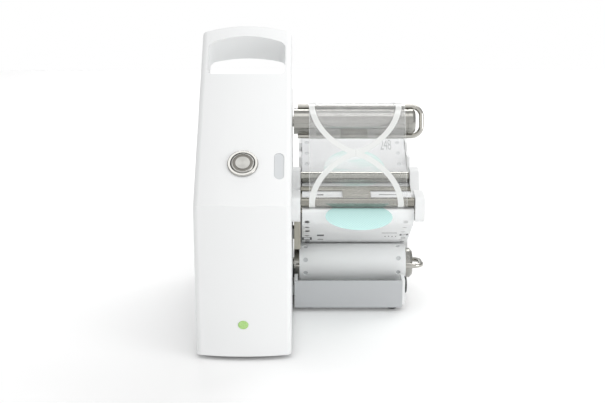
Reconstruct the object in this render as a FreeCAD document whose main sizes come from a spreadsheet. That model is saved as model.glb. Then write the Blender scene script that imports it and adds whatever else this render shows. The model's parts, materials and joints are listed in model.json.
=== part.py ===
import FreeCAD, Part
import math
import os
import re
import Sketcher

V = FreeCAD.Vector
TURN_X = V(1, 0, 0)

# Driving dimensions, in millimetres and degrees.
# X runs to the right from the right wall of the housing, Y runs back from the front
# corners of the housing, and Z runs up from the table.
SIZES = {
    # Housing
    "shell_width": "64",
    "shell_wall": "3",
    "shell_depth": "172",
    "front_bulge": "3.5",
    "corner_round": "4.5",
    "foot_height": "3",
    "foot_radius": "5",
    "crease_height": "107.7",
    "crease_round": "3",
    "slope_angle": "40",
    "slope_length": "148.5",
    "top_arch": "3",
    "grip_thick": "21",
    "grip_start": "109.5",
    "grip_length": "28",
    "grip_post": "4.6",
    "grip_arch": "4.5",
    "grip_round": "5.5",
    "back_rise": "43.3",
    "back_round": "14",
    # Button, window and lamp
    "button_centre": "31.2",
    "bezel_radius": "10.5",
    "bezel_proud": "1.2",
    "bezel_flange": "1.6",
    "bezel_bore": "8.2",
    "bezel_depth": "8",
    "button_radius": "7.9",
    "cap_depth": "5",
    "switch_half": "7",
    "switch_depth": "6",
    "button_proud": "1.4",
    "window_width": "6.5",
    "window_length": "21",
    "window_centre": "30.7",
    "window_inset": "8",
    "window_thick": "1.5",
    "lamp_width": "6.9",
    "lamp_rise": "6",
    "lamp_height": "26",
    # Plates and hardware in the housing
    "plate_thick": "3",
    "board_thick": "1.6",
    "pillar_radius": "3",
    "screw_head": "3.4",
    "head_thick": "1.6",
    "gearbox_length": "9",
    "gearbox_half": "12.5",
    "motor_radius": "12",
    "motor_room": "4",
    "bracket_gap": "4",
    "bracket_thick": "2",
    "bracket_half": "16",
    "bracket_back": "23",
    "bracket_drop": "8",
    "leg_width": "5",
    "board_gap": "30",
    "board_inset": "16",
    "pillar_inset": "5",
    "socket_inset": "17",
    "socket_rise": "30",
    "panel_ledge": "4",
    "panel_foot": "12",
    "bush_wall": "2.5",
    "fit": "0.05",
    "clearance": "0.3",
    # Drive train
    "gear_module": "1",
    "pinion_teeth": "16",
    "gear_teeth": "32",
    "gear_width": "5",
    "gear_gap": "2",
    "mesh_gap": "0.1",
    "motor_shaft": "2.5",
    "motor_pulley": "5",
    "upper_pulley_radius": "14.3",
    "lower_pulley_radius": "16.1",
    "belt_width": "5",
    "rim": "1.2",
    "belt_thick": "1.2",
    "belt_pitch": "8",
    # Strip and its layers
    "strip_width": "80",
    "strip_side": "7.2",
    "strip_thick": "0.4",
    "film_width": "70",
    "film_thick": "0.15",
    "paper_thick": "0.25",
    "disc_diameter": "47",
    "disc_centre": "12.6",
    "disc_thick": "0.15",
    "run_gap": "0.25",
    # Rollers and rods
    "drive_y": "122",
    "drive_z": "80.1",
    "drive_radius": "8",
    "drive_shaft": "2.5",
    "hold_radius": "4",
    "hold_journal": "2",
    "peel_y": "73.9",
    "peel_radius": "3.5",
    "peel_journal": "1.75",
    "rear_y": "169.5",
    "rear_z": "102",
    "rear_radius": "8",
    "rear_journal": "2",
    # Arms and plates
    "arm_thick": "6",
    "arm_bottom": "74.6",
    "arm_front": "66.5",
    "arm_boss_length": "22",
    "arm_boss_top": "93",
    "arm_saddle": "86",
    "arm_rear_boss": "13",
    "arm_top": "100",
    "arm_round": "3.5",
    "outer_arm_thick": "6.8",
    "carrier_thick": "4.7",
    "carrier_gap": "1.4",
    "carrier_bottom": "51",
    "carrier_front": "77",
    "spacer_side": "8",
    "table_front": "70.1",
    "table_rear": "113.5",
    "table_thick": "3",
    "table_top": "83.2",
    "stop_thick": "0.8",
    "tongue_width": "20.7",
    "tongue_front": "79",
    "band_front": "104",
    "band_rear": "112",
    # Take-up spools and their clips
    "spool_y": "115.5",
    "upper_rise": "29.8",
    "upper_radius": "9.5",
    "upper_end": "90.2",
    "lower_z": "27",
    "lower_radius": "11.25",
    "lower_end": "90.7",
    "spool_shaft": "4",
    "wire_radius": "1.8",
    "wire_seat": "1.3",
    "wire_start": "4",
    "loop_round": "7.5",
    "upper_loop": "96.9",
    "lower_loop": "99.4",
    "upper_clip_angle": "77",
    "lower_clip_angle": "171.6",
    "sleeve_gap": "0.3",
    "film_wound": "0.35",
    "paper_wound": "1.5",
    "end_chamfer": "2",
    # Paper path
    "paper_fold": "11",
    "paper_fall": "28",
    # Magazine and stack
    "magazine_front": "138.5",
    "magazine_rear": "224.5",
    "magazine_wall": "2",
    "magazine_top": "104",
    "magazine_lip": "88",
    "stack_height": "58",
    "stack_length": "76.2",
    # Tray
    "tray_side": "1.5",
    "tray_front_y": "83",
    "tray_panel": "1.5",
    "tray_height": "24.3",
    "tray_right": "83.5",
    "tray_floor": "3",
    "tray_wall": "2.5",
    "tray_bottom": "5",
    "trough_length": "51.5",
    "cap_radius": "6.2",
    "cap_thick": "1.6",
}

# Sizes that follow from the driving ones.
DERIVED = {
    "back_top": "crease_height + back_rise",
    "upper_z": "crease_height + upper_rise",
    "centre_x": "(lower_loop - shell_width) / 2",
    "centre_y": "(magazine_rear - front_bulge) / 2",
    "strip_middle": "strip_side + strip_width / 2",
    "outer_arm_x": "strip_side + strip_width + 0.4",
    "span": "strip_side + strip_width + 0.4 - arm_thick",
    "hold_z": "drive_z + drive_radius + strip_thick + 2 * run_gap + hold_radius",
    "wire_upper": "upper_radius + wire_seat",
    "wire_lower": "lower_radius + wire_seat",
    "plate_x": "-2 * plate_thick",
    "gear_x": "-2 * plate_thick - gear_gap - gear_width",
    "upper_belt_x": "-2 * plate_thick - gear_gap - gear_width - belt_pitch",
    "lower_belt_x": "-2 * plate_thick - gear_gap - gear_width - 2 * belt_pitch",
    "motor_y": "drive_y - gear_module * (pinion_teeth + gear_teeth) / 2 - mesh_gap",
    "motor_x": "lower_belt_x - bracket_gap",
    "motor_length": "shell_width - shell_wall + motor_x - gearbox_length - motor_room",
    "board_front": "shell_wall + board_inset",
    "board_rear": "motor_y - gearbox_half - board_inset",
    "board_low": "foot_height + board_inset",
    "board_high": "crease_height - board_inset - 6",
    "magazine_left": "strip_side - 0.4 - magazine_wall",
    "magazine_width": "strip_width + 0.8 + 2 * magazine_wall",
    "tray_top": "tray_bottom + tray_floor",
    "carrier_rear": "magazine_front - clearance",
    "nose_y": "table_front + table_thick / 2",
    "strip_rise": "(hold_z - hold_radius - run_gap - strip_thick - clearance - table_top)"
                  " / (drive_y - table_front)",
    "peel_z": "table_top + strip_rise * (peel_y - nose_y) + clearance + strip_thick + run_gap"
              " + peel_radius + fit",
}

doc = FreeCAD.newDocument("membrane_filter_dispenser")
sheet = doc.addObject("Spreadsheet::Sheet", "Sizes")
for row, (alias, value) in enumerate(SIZES.items(), start=1):
    sheet.set("A%d" % row, alias)
    sheet.set("B%d" % row, value)
    sheet.setAlias("B%d" % row, alias)
for row, (alias, formula) in enumerate(DERIVED.items(), start=len(SIZES) + 2):
    sheet.set("A%d" % row, alias)
    sheet.set("B%d" % row, "=" + formula)
    sheet.setAlias("B%d" % row, alias)
doc.recompute()


class Dimensions:
    """The sheet's numbers, read by name for the shapes that are worked out here."""

    def __getattr__(self, alias):
        return float(sheet.get(alias))


dim = Dimensions()
ALIASES = set(SIZES) | set(DERIVED)


def full(text):
    """A formula on the sheet's aliases, with each alias written with its sheet."""
    def name(match):
        word = match.group(0)
        return "Sizes." + word if word in ALIASES else word
    return re.sub(r"[a-z][a-z_]*", name, str(text))


def number(text):
    """The present value of such a formula."""
    value = sheet.evalExpression(full(text).replace("Sizes.", ""))
    return float(getattr(value, "Value", value))


def bind(item, **formulas):
    """Ties properties of an object to formulas on the sheet."""
    for prop, text in formulas.items():
        item.setExpression(prop.replace("__", "."), full(text))


def seat(item, y="0", z="0", x="0"):
    """Places an object from the machine's corner, with the row's origin under its middle."""
    bind(item,
         Placement__Base__x="%s - centre_x" % x,
         Placement__Base__y="%s - centre_y" % y,
         Placement__Base__z=z)


def origin_plane(body, role):
    for feature in body.Origin.OriginFeatures:
        if feature.Role == role:
            return feature
    raise ValueError(role)


def new_body(label):
    body = doc.addObject("PartDesign::Body", label)
    body.Label = label
    return body


def outline(body, plane, corners, circles=(), offset="0"):
    """A sketch with a closed outline and round holes, every point placed from the sheet."""
    sketch = body.newObject("Sketcher::SketchObject", body.Label + "_sketch")
    sketch.AttachmentSupport = [(origin_plane(body, plane), "")]
    sketch.MapMode = "FlatFace"
    sketch.setExpression("AttachmentOffset.Base.z", full(offset))
    points = [V(number(a), number(b), 0) for a, b in corners]
    count = len(points)
    for index in range(count):
        line = Part.LineSegment(points[index], points[(index + 1) % count])
        sketch.addGeometry(line, False)
    for index in range(count):
        sketch.addConstraint(Sketcher.Constraint("Coincident", index, 2, (index + 1) % count, 1))
    for index, (a, b) in enumerate(corners):
        for kind, text in (("DistanceX", a), ("DistanceY", b)):
            place = Sketcher.Constraint(kind, -1, 1, index, 1, number(text))
            item = sketch.addConstraint(place)
            sketch.setExpression("Constraints[%d]" % item, full(text))
    for a, b, radius in circles:
        centre = V(number(a), number(b), 0)
        ring = sketch.addGeometry(Part.Circle(centre, V(0, 0, 1), number(radius)), False)
        for kind, text in (("DistanceX", a), ("DistanceY", b)):
            item = sketch.addConstraint(Sketcher.Constraint(kind, -1, 1, ring, 3, number(text)))
            sketch.setExpression("Constraints[%d]" % item, full(text))
        item = sketch.addConstraint(Sketcher.Constraint("Radius", ring, number(radius)))
        sketch.setExpression("Constraints[%d]" % item, full(radius))
    return sketch


def round_corners(body, feature, corners, radius, plane):
    """Rounds the edges that run through the named corners of a padded outline."""
    doc.recompute()
    places = [(number(a), number(b)) for a, b in corners]
    names = []
    for index, edge in enumerate(feature.Shape.Edges, start=1):
        ends = []
        for vertex in edge.Vertexes:
            point = vertex.Point
            flat = {"YZ_Plane": (point.y, point.z), "XZ_Plane": (point.x, point.z),
                    "XY_Plane": (point.x, point.y)}[plane]
            ends.append(flat)
        if len(ends) < 2 or math.dist(ends[0], ends[1]) > 1e-6:
            continue
        if min(math.dist(ends[0], place) for place in places) < 1e-4:
            names.append("Edge%d" % index)
    fillet = body.newObject("PartDesign::Fillet", body.Label + "_rounds")
    fillet.Base = (feature, names)
    bind(fillet, Radius=radius)
    body.Tip = fillet
    return fillet


def plate(label, plane, start, thick, corners, circles=(), rounds=(), radius="1"):
    """A flat piece: an outline padded from one face to the other."""
    body = new_body(label)
    sketch = outline(body, plane, corners, circles, start)
    pad = body.newObject("PartDesign::Pad", label + "_pad")
    pad.Profile = sketch
    bind(pad, Length=thick)
    sketch.Visibility = False
    if rounds:
        round_corners(body, pad, [corners[index] for index in rounds], radius, plane)
    seat(body)
    return body


def turned(label, corners, y="0", z="0"):
    """A round piece: half its section, as X and radius, turned about its own axis."""
    body = new_body(label)
    sketch = outline(body, "XY_Plane", corners)
    turn = body.newObject("PartDesign::Revolution", label + "_turn")
    turn.Profile = sketch
    turn.ReferenceAxis = (sketch, ["H_Axis"])
    turn.Angle = 360
    seat(body, y, z)
    return body


def box(name, x, y, z, width, depth, height):
    """A block, as a step of a cut or a fused piece."""
    block = doc.addObject("Part::Box", name)
    bind(block, Length=width, Width=depth, Height=height)
    bind(block, Placement__Base__x=x, Placement__Base__y=y, Placement__Base__z=z)
    return block


def rod(name, x, y, z, radius, length):
    """A cylinder along X, as a step of a cut or a fused piece."""
    pin = doc.addObject("Part::Cylinder", name)
    bind(pin, Radius=radius, Height=length)
    bind(pin, Placement__Base__x=x, Placement__Base__y=y, Placement__Base__z=z)
    pin.Placement.Rotation = FreeCAD.Rotation(V(0, 1, 0), 90)
    return pin


def joined(name, pieces):
    fuse = doc.addObject("Part::MultiFuse", name)
    fuse.Shapes = pieces
    return fuse


def cut(name, base, tool):
    remove = doc.addObject("Part::Cut", name)
    remove.Base = base
    remove.Tool = tool
    return remove


def group(label, pieces):
    """Several equal pieces that share one node."""
    bundle = doc.addObject("Part::Compound", label)
    bundle.Links = pieces
    bundle.Label = label
    seat(bundle)
    return bundle


def shaped(label, shape):
    """A piece whose shape is worked out in this file from the sheet's sizes."""
    item = doc.addObject("Part::Feature", label)
    item.Label = label
    place = shape.Placement.toMatrix()
    shape.Placement = FreeCAD.Placement()
    item.Shape = shape.transformed(place, True)
    seat(item)
    return item


def heading(first, second):
    """The direction of the straight run that leaves one circle and meets the next."""
    (ya, za, ra, sa), (yb, zb, rb, sb) = first, second
    reach = math.hypot(yb - ya, zb - za)
    return math.atan2(zb - za, yb - ya) - math.asin((sb * rb - sa * ra) / reach)


def course(stops, shift, x, closed=False):
    """Edges of a path that runs straight from circle to circle and bends round each.

    A stop is Y, Z, radius and side: 1 where the circle is left of the path, -1 right.
    The whole path is moved to its left by shift.
    """
    count = len(stops)
    runs = []
    for index in range(count if closed else count - 1):
        first = stops[index]
        second = stops[(index + 1) % count]
        angle = heading(first, second)
        left = (-math.sin(angle), math.cos(angle))
        ends = []
        for y, z, radius, side in (first, second):
            away = shift - side * radius
            ends.append(V(x, y + away * left[0], z + away * left[1]))
        runs.append((ends, angle))
    edges = []
    for index, (ends, angle) in enumerate(runs):
        edges.append(Part.makeLine(*ends))
        if index + 1 == len(runs) and not closed:
            break
        following, next_angle = runs[(index + 1) % len(runs)]
        y, z, radius, side = stops[(index + 1) % count]
        turn = (next_angle - angle) % (2 * math.pi)
        if side < 0:
            turn -= 2 * math.pi
        if abs(turn) % (2 * math.pi) < 1e-6:
            continue
        middle = angle + turn / 2
        away = shift - side * radius
        over = V(x, y - away * math.sin(middle), z + away * math.cos(middle))
        edges.append(Part.Arc(ends[1], over, following[0]).toShape())
    return edges


def leaving(y, z, radius, side, degrees):
    """A stop just past a circle, where the path comes off it at the given angle."""
    angle = math.radians(degrees)
    tail = 0.5
    return (y + radius * math.cos(angle) - side * tail * math.sin(angle),
            z + radius * math.sin(angle) + side * tail * math.cos(angle), 0, 1)


def ribbon(stops, thick, x, width):
    """A thin sheet that follows a path, between two faces along X."""
    above = course(stops, thick / 2, x)
    below = course(stops, -thick / 2, x)
    first = Part.makeLine(below[0].Vertexes[0].Point, above[0].Vertexes[0].Point)
    last = Part.makeLine(above[-1].Vertexes[-1].Point, below[-1].Vertexes[-1].Point)
    wire = Part.Wire(Part.__sortEdges__(above + below + [first, last]))
    return Part.Face(wire).extrude(V(width, 0, 0))


def loop_band(stops, thick, x, width):
    """A closed belt round its pulleys."""
    inner = Part.Face(Part.Wire(course(stops, 0, x, True))).extrude(V(width, 0, 0))
    outer = Part.Face(Part.Wire(course(stops, -thick, x, True))).extrude(V(width, 0, 0))
    return outer.cut(inner)


def prism(points, direction):
    """A closed outline of straight sides, drawn out along a direction."""
    return Part.Face(Part.makePolygon(points + [points[0]])).extrude(direction)


# Housing shell: a painted moulding, convex across its front, with a sloped panel that
# runs up into a carrying handle.
def front_outline(inset):
    """Plan of the housing: a convex front, rounded front corners and straight sides."""
    left = -dim.shell_width + inset
    right = -inset
    far = dim.shell_depth + dim.grip_thick
    middle = (left + right) / 2
    bow = Part.Arc(V(left, inset, 0), V(middle, inset - dim.front_bulge, 0), V(right, inset, 0))
    sides = [V(right, inset, 0), V(right, far, 0), V(left, far, 0), V(left, inset, 0)]
    return Part.Wire([bow.toShape()] + Part.makePolygon(sides).Edges)


def front_form(inset):
    """The space behind the front: upright below the crease and sloped above it."""
    slope = math.radians(dim.slope_angle)
    reach = dim.slope_length + dim.shell_depth
    face = Part.Face(front_outline(inset))
    upright = face.extrude(V(0, 0, dim.crease_height + reach))
    leaning = face.extrude(V(0, 0, 2 * reach))
    leaning.translate(V(0, 0, -reach))
    turn = FreeCAD.Rotation(TURN_X, dim.slope_angle - 90)
    leaning.Placement = FreeCAD.Placement(V(0, 0, dim.crease_height), turn).multiply(leaning.Placement)
    return upright.common(leaning)


def side_outline(x):
    """Side of the housing as a face: front, slope, handle, back and rear wall."""
    slope = math.radians(dim.slope_angle)
    along = V(0, math.cos(slope), math.sin(slope))
    inward = V(0, math.sin(slope), -math.cos(slope))
    crease = V(x, 0, dim.crease_height)
    front = -dim.front_bulge
    top_length = dim.slope_length + dim.top_arch
    back_corner = crease + along * (dim.grip_start + 0.7) + inward * dim.grip_thick
    points = [
        V(x, front - 1, dim.foot_height),
        V(x, front - 1, dim.crease_height),
        crease - inward * (dim.front_bulge + 1) + along * dim.slope_length,
        crease + along * top_length - inward * (dim.front_bulge + 1),
        crease + along * top_length + inward * dim.grip_thick,
        back_corner,
        V(x, dim.shell_depth, dim.back_top),
        V(x, dim.shell_depth, dim.foot_height),
    ]
    return points


def housing_solid():
    points = side_outline(-dim.shell_width)
    block = prism(points, V(dim.shell_width, 0, 0)).common(front_form(0))
    return block.removeSplitter()


def edges_where(shape, test):
    return [edge for edge in shape.Edges if test(edge)]


def housing_shell():
    slope = math.radians(dim.slope_angle)
    along = V(0, math.cos(slope), math.sin(slope))
    inward = V(0, math.sin(slope), -math.cos(slope))
    crease = V(0, 0, dim.crease_height)
    block = housing_solid()

    # The handle's top edge is a shallow arch.
    def on_slope(x, length, depth):
        return crease + V(x, 0, 0) + along * length + inward * depth
    left, right = -dim.shell_width, 0
    middle = (left + right) / 2
    lift = -dim.front_bulge - 2
    arch = Part.Arc(on_slope(left, dim.slope_length, lift),
                    on_slope(middle, dim.slope_length + dim.top_arch, lift),
                    on_slope(right, dim.slope_length, lift)).toShape()
    beyond = Part.makePolygon([
        on_slope(right, dim.slope_length, lift), on_slope(right + 9, dim.slope_length, lift),
        on_slope(right + 9, dim.slope_length + 60, lift),
        on_slope(left - 9, dim.slope_length + 60, lift),
        on_slope(left - 9, dim.slope_length, lift), on_slope(left, dim.slope_length, lift)])
    waste = Part.Face(Part.Wire([arch] + beyond.Edges)).extrude(inward * (dim.grip_thick + 20))
    block = block.cut(waste)

    # Long corners, then the crease and the back edge.
    def upright(edge):
        ends = [vertex.Point for vertex in edge.Vertexes]
        if len(ends) < 2:
            return False
        same_side = abs(ends[0].x - ends[1].x) < 0.01
        at_side = min(abs(ends[0].x - left), abs(ends[0].x - right)) < 0.01
        middle_point = (ends[0] + ends[1]) * 0.5
        in_front = middle_point.y < 0.01
        on_face = abs((middle_point - crease).dot(inward)) < 0.01
        return same_side and at_side and (in_front or on_face)
    block = block.makeFillet(dim.corner_round, edges_where(block, upright))

    def creased(edge):
        box_of = edge.BoundBox
        wide = box_of.XLength > dim.shell_width / 2
        return wide and abs(box_of.ZMin - dim.crease_height) < 4 and box_of.YMax < 6
    crest = edges_where(block, creased)
    if crest:
        block = block.makeFillet(dim.crease_round, crest)

    def shoulder(edge):
        box_of = edge.BoundBox
        wide = box_of.XLength > dim.shell_width - 1
        return wide and box_of.YMin > dim.shell_depth - 1 and abs(box_of.ZMin - dim.back_top) < 1
    block = block.makeFillet(dim.back_round, edges_where(block, shoulder))

    # Grip hole through the sloped slab, square to it.
    start, end = dim.grip_start, dim.grip_start + dim.grip_length
    gleft, gright = left + dim.grip_post, right - dim.grip_post
    low = Part.Arc(on_slope(gleft, start, lift), on_slope(middle, start - 2, lift),
                   on_slope(gright, start, lift)).toShape()
    high = Part.Arc(on_slope(gright, end, lift), on_slope(middle, end + dim.grip_arch, lift),
                    on_slope(gleft, end, lift)).toShape()
    rims = [Part.makeLine(on_slope(gright, start, lift), on_slope(gright, end, lift)),
            Part.makeLine(on_slope(gleft, end, lift), on_slope(gleft, start, lift))]
    hole = Part.Face(Part.Wire([low, rims[0], high, rims[1]])).extrude(inward * (dim.grip_thick - lift + 0.5))
    corners = edges_where(hole, lambda e: len(e.Vertexes) == 2 and
                          abs((e.Vertexes[0].Point - e.Vertexes[1].Point).normalize().dot(inward)) > 0.99)
    hole = hole.makeFillet(dim.grip_round, corners)
    block = block.cut(hole)

    # The inside: the same form, one wall smaller, up to the foot of the handle.
    wall = dim.shell_wall
    inner_top = on_slope(left, start - 2 - wall, dim.front_bulge + wall)
    foot_of_grip = on_slope(left, start - 2 - wall, dim.grip_thick + wall + 0.5)
    back_corner = crease + along * (start + 0.7) + inward * dim.grip_thick
    fall = math.atan2(back_corner.z - dim.back_top, dim.shell_depth - back_corner.y)
    cavity_points = [
        V(left, -9, dim.foot_height - 1),
        V(left, -9, dim.crease_height + 40),
        V(left, inner_top.y - 60, inner_top.z),
        V(left, inner_top.y, inner_top.z),
        V(left, foot_of_grip.y, foot_of_grip.z),
        V(left, back_corner.y + wall, back_corner.z - (wall + 0.5) / math.cos(fall)),
        V(left, dim.shell_depth - dim.back_round, dim.back_top - wall - 0.5),
        V(left, dim.shell_depth - wall, dim.back_top - dim.back_round),
        V(left, dim.shell_depth - wall, dim.foot_height - 1),
    ]
    cavity = prism(cavity_points, V(dim.shell_width, 0, 0)).common(front_form(wall))
    block = block.cut(cavity)
    for tool in shell_openings(on_slope, middle):
        block = block.cut(tool)
    return block.removeSplitter()


def slope_place(x, length, depth):
    """A placement on the slope: X across it, Y up along it, Z out of it."""
    slope = math.radians(dim.slope_angle)
    along = V(0, math.cos(slope), math.sin(slope))
    inward = V(0, math.sin(slope), -math.cos(slope))
    base = V(x, 0, dim.crease_height) + along * length + inward * depth
    return FreeCAD.Placement(base, FreeCAD.Rotation(TURN_X, dim.slope_angle))


def stadium(width, length, thick, place):
    """A slot-shaped block with round ends, on the slope."""
    half = width / 2
    run = length / 2 - half
    sides = [
        Part.makeLine(V(half, -run, 0), V(half, run, 0)),
        Part.Arc(V(half, run, 0), V(0, run + half, 0), V(-half, run, 0)).toShape(),
        Part.makeLine(V(-half, run, 0), V(-half, -run, 0)),
        Part.Arc(V(-half, -run, 0), V(0, -run - half, 0), V(half, -run, 0)).toShape(),
    ]
    block = Part.Face(Part.Wire(sides)).extrude(V(0, 0, thick))
    block.Placement = place
    return block


def lamp_block(grow, thick, y):
    """An oval plug, square to the front wall."""
    oval = Part.Ellipse(V(0, 0, 0), dim.lamp_width / 2 + grow, dim.lamp_rise / 2 + grow)
    block = Part.Face(Part.Wire(oval.toShape())).extrude(V(0, 0, -thick))
    block.Placement = FreeCAD.Placement(V(-dim.shell_width / 2, y, dim.lamp_height),
                                        FreeCAD.Rotation(TURN_X, 90))
    return block


def rear_window():
    """The opening for the rear panel: left, right, bottom and top."""
    left = -dim.shell_width + dim.shell_wall + dim.panel_ledge
    right = -dim.shell_wall - dim.panel_ledge
    low = dim.foot_height + dim.panel_foot
    return left, right, low, dim.back_top - dim.back_round - dim.panel_foot


def shell_openings(on_slope, middle):
    """The holes of the shell: button, window, lamp, shafts, rear panel."""
    button = Part.makeCylinder(dim.bezel_bore + dim.bezel_flange, 60)
    button.Placement = slope_place(middle, dim.button_centre, 20)
    window_x = -dim.window_inset
    window = stadium(dim.window_width + 2 * dim.fit, dim.window_length + 2 * dim.fit, 40,
                     slope_place(window_x, dim.window_centre, 20))
    lamp = lamp_block(dim.fit, 20, -10)
    tools = [button, window, lamp]
    reach = 2 * dim.shell_wall
    for y, z, radius in ((dim.spool_y, dim.upper_z, dim.spool_shaft + 2),
                         (dim.spool_y, dim.lower_z, dim.spool_shaft + 2),
                         (dim.drive_y, dim.drive_z, dim.drive_shaft + 1)):
        tools.append(Part.makeCylinder(radius, reach, V(-reach + 1, y, z), TURN_X))
    left, right, low, high = rear_window()
    tools.append(Part.makeBox(right - left, 20, high - low,
                              V(left, dim.shell_depth - 10, low)))
    return tools


shaped("housing_shell", housing_shell())

# Floor plate, closing the housing underneath between its walls.
plate("floor_plate", "XY_Plane", "foot_height", "plate_thick",
      [("-shell_width + shell_wall + clearance", "shell_wall + clearance"),
       ("-shell_wall - clearance", "shell_wall + clearance"),
       ("-shell_wall - clearance", "shell_depth - shell_wall - clearance"),
       ("-shell_width + shell_wall + clearance", "shell_depth - shell_wall - clearance")])

# Side plate: the metal plate just inside the right wall that carries every bearing.
plate("side_plate", "YZ_Plane", "plate_x", "plate_thick",
      [("shell_wall + 12", "foot_height + plate_thick"),
       ("shell_depth - shell_wall - 6", "foot_height + plate_thick"),
       ("shell_depth - shell_wall - 6", "back_top - back_round - 10"),
       ("spool_y + 24", "upper_z + 12"),
       ("spool_y - 24", "upper_z + 12"),
       ("shell_wall + 12", "crease_height - 14")],
      [("spool_y", "upper_z", "spool_shaft + bush_wall + fit"),
       ("spool_y", "lower_z", "spool_shaft + bush_wall + fit"),
       ("drive_y", "drive_z", "drive_shaft + bush_wall + fit"),
       ("motor_y", "drive_z", "motor_shaft + fit")])


# Bushes for the two spools and the drive roller, pressed into the side plate.
def bush_set():
    pieces = []
    for y, z, shaft in ((dim.spool_y, dim.upper_z, dim.spool_shaft),
                        (dim.spool_y, dim.lower_z, dim.spool_shaft),
                        (dim.drive_y, dim.drive_z, dim.drive_shaft)):
        foot_of = V(dim.plate_x, y, z)
        neck = Part.makeCylinder(shaft + dim.bush_wall, dim.plate_thick, foot_of, TURN_X)
        pieces.append(neck.cut(Part.makeCylinder(shaft + dim.fit, dim.plate_thick, foot_of, TURN_X)))
    return Part.makeCompound(pieces)


shaped("shaft_bushes", bush_set())

# Rear panel with its two sockets and four screws.
PANEL_X = ("-shell_width + shell_wall + panel_ledge + clearance", "-shell_wall - panel_ledge - clearance")
PANEL_Z = ("foot_height + panel_foot + clearance", "back_top - back_round - panel_foot - clearance")
SOCKET_X = "-shell_wall - socket_inset"
SWITCH_X = "-shell_width + shell_wall + socket_inset"
SOCKET_Z = "foot_height + socket_rise"
plate("rear_panel", "XZ_Plane", "-shell_depth", "shell_wall",
      [(PANEL_X[0], PANEL_Z[0]), (PANEL_X[1], PANEL_Z[0]),
       (PANEL_X[1], PANEL_Z[1]), (PANEL_X[0], PANEL_Z[1])],
      [(SOCKET_X, SOCKET_Z, "5"), (SWITCH_X, SOCKET_Z, "4")])


def socket(x, z, body_radius, bore, rim):
    """A panel socket: a threaded barrel, a rim outside and a bore for the plug."""
    face = dim.shell_depth
    barrel = Part.makeCylinder(body_radius, 12, V(x, face - 12, z), V(0, 1, 0))
    collar = Part.makeCylinder(rim, 1.5, V(x, face, z), V(0, 1, 0))
    hole = Part.makeCylinder(bore, 9, V(x, face - 7.5, z), V(0, 1, 0))
    return barrel.fuse(collar).cut(hole)


shaped("power_socket", socket(number(SOCKET_X), number(SOCKET_Z), 4.95, 3, 6.5))
shaped("foot_switch_socket", socket(number(SWITCH_X), number(SOCKET_Z), 3.95, 2.4, 5.5))


def hex_bar(place, axis, radius, length):
    """A hexagon bar that starts at a place and runs along an axis."""
    across = axis.cross(V(0, 0, 1))
    points = []
    for corner in range(6):
        angle = corner * math.pi / 3
        points.append(place + across * (radius * math.cos(angle)) + V(0, 0, radius * math.sin(angle)))
    return prism(points, axis * length)


def panel_screws():
    """Four hexagon screws that hold the rear panel to blocks in the shell."""
    pieces = []
    inset = dim.screw_head + 1.6
    for x in (number(PANEL_X[0]) + inset, number(PANEL_X[1]) - inset):
        for z in (number(PANEL_Z[0]) + inset, number(PANEL_Z[1]) - inset):
            place = V(x, dim.shell_depth, z)
            pieces.append(hex_bar(place, V(0, 1, 0), dim.screw_head, dim.head_thick))
    return Part.makeCompound(pieces)


shaped("panel_screws", panel_screws())


# Rubber feet under the housing and under the tray.
def foot(x, y, height):
    body = Part.makeCone(dim.foot_radius - 1, dim.foot_radius, height, V(x, y, 0))
    return body


def foot_set():
    pieces = []
    inset = 10
    for x in (-dim.shell_width + inset, -inset):
        for y in (inset + 4, dim.shell_depth - inset - 4):
            pieces.append(foot(x, y, dim.foot_height))
    for y in (dim.tray_front_y + 9, dim.magazine_rear - 12):
        pieces.append(foot(dim.tray_right - 9, y, dim.tray_bottom))
    return Part.makeCompound(pieces)


shaped("rubber_feet", foot_set())


# Start button in its polished ring, square to the slope.
def button_place(depth=0.0):
    middle = -dim.shell_width / 2
    return slope_place(middle, dim.button_centre, depth - dim.front_bulge)


def along_slope(shape, depth=0.0):
    shape.Placement = button_place(depth)
    return shape


def ring_of(profile):
    """A ring turned from half its section, about the button's axis."""
    points = [V(radius, 0, height) for radius, height in profile]
    face = Part.Face(Part.makePolygon(points + [points[0]]))
    return face.revolve(V(0, 0, 0), V(0, 0, 1), 360)


bore = dim.bezel_bore
outer = dim.bezel_radius
sleeve = bore + dim.bezel_flange - 2 * dim.fit
shaped("button_bezel", along_slope(ring_of([
    (bore, -dim.bezel_depth), (sleeve, -dim.bezel_depth), (sleeve, 0), (outer, 0),
    (outer - 0.5, dim.bezel_proud), (bore, dim.bezel_proud)])))
radius = dim.button_radius
crown = dim.button_proud
shaped("start_button", along_slope(ring_of([
    (0, -dim.cap_depth), (radius, -dim.cap_depth), (radius, crown - 0.6),
    (radius - 0.6, crown), (0, crown)])))
half = dim.switch_half
foot_of_switch = V(-half, -half, -dim.bezel_depth - dim.fit - dim.switch_depth)
shaped("button_switch", along_slope(
    Part.makeBox(2 * half, 2 * half, dim.switch_depth, foot_of_switch)))


# Sensor window, its board, and the status lamp in the front wall.
def sensor_window():
    block = stadium(dim.window_width, dim.window_length, 30,
                    slope_place(-dim.window_inset, dim.window_centre, 10))
    skin = front_form(0.2).cut(front_form(dim.window_thick + 0.2))
    return block.common(skin)


shaped("sensor_window", sensor_window())


def sensor_board():
    place = slope_place(-dim.window_inset - 1, dim.window_centre, dim.shell_wall + 3)
    block = Part.makeBox(9, 26, dim.board_thick, V(-6.5, -13, 0))
    block.Placement = place
    pillar = Part.makeBox(3, 3, 4.5, V(-6, -10, 0))
    pillar.Placement = place
    return block.fuse(pillar)


shaped("sensor_board", sensor_board())


def lamp_lens():
    block = lamp_block(0, 12, -8)
    return block.common(front_form(-0.4).cut(front_form(dim.shell_wall - 0.5)))


shaped("lamp_lens", lamp_lens())

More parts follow.
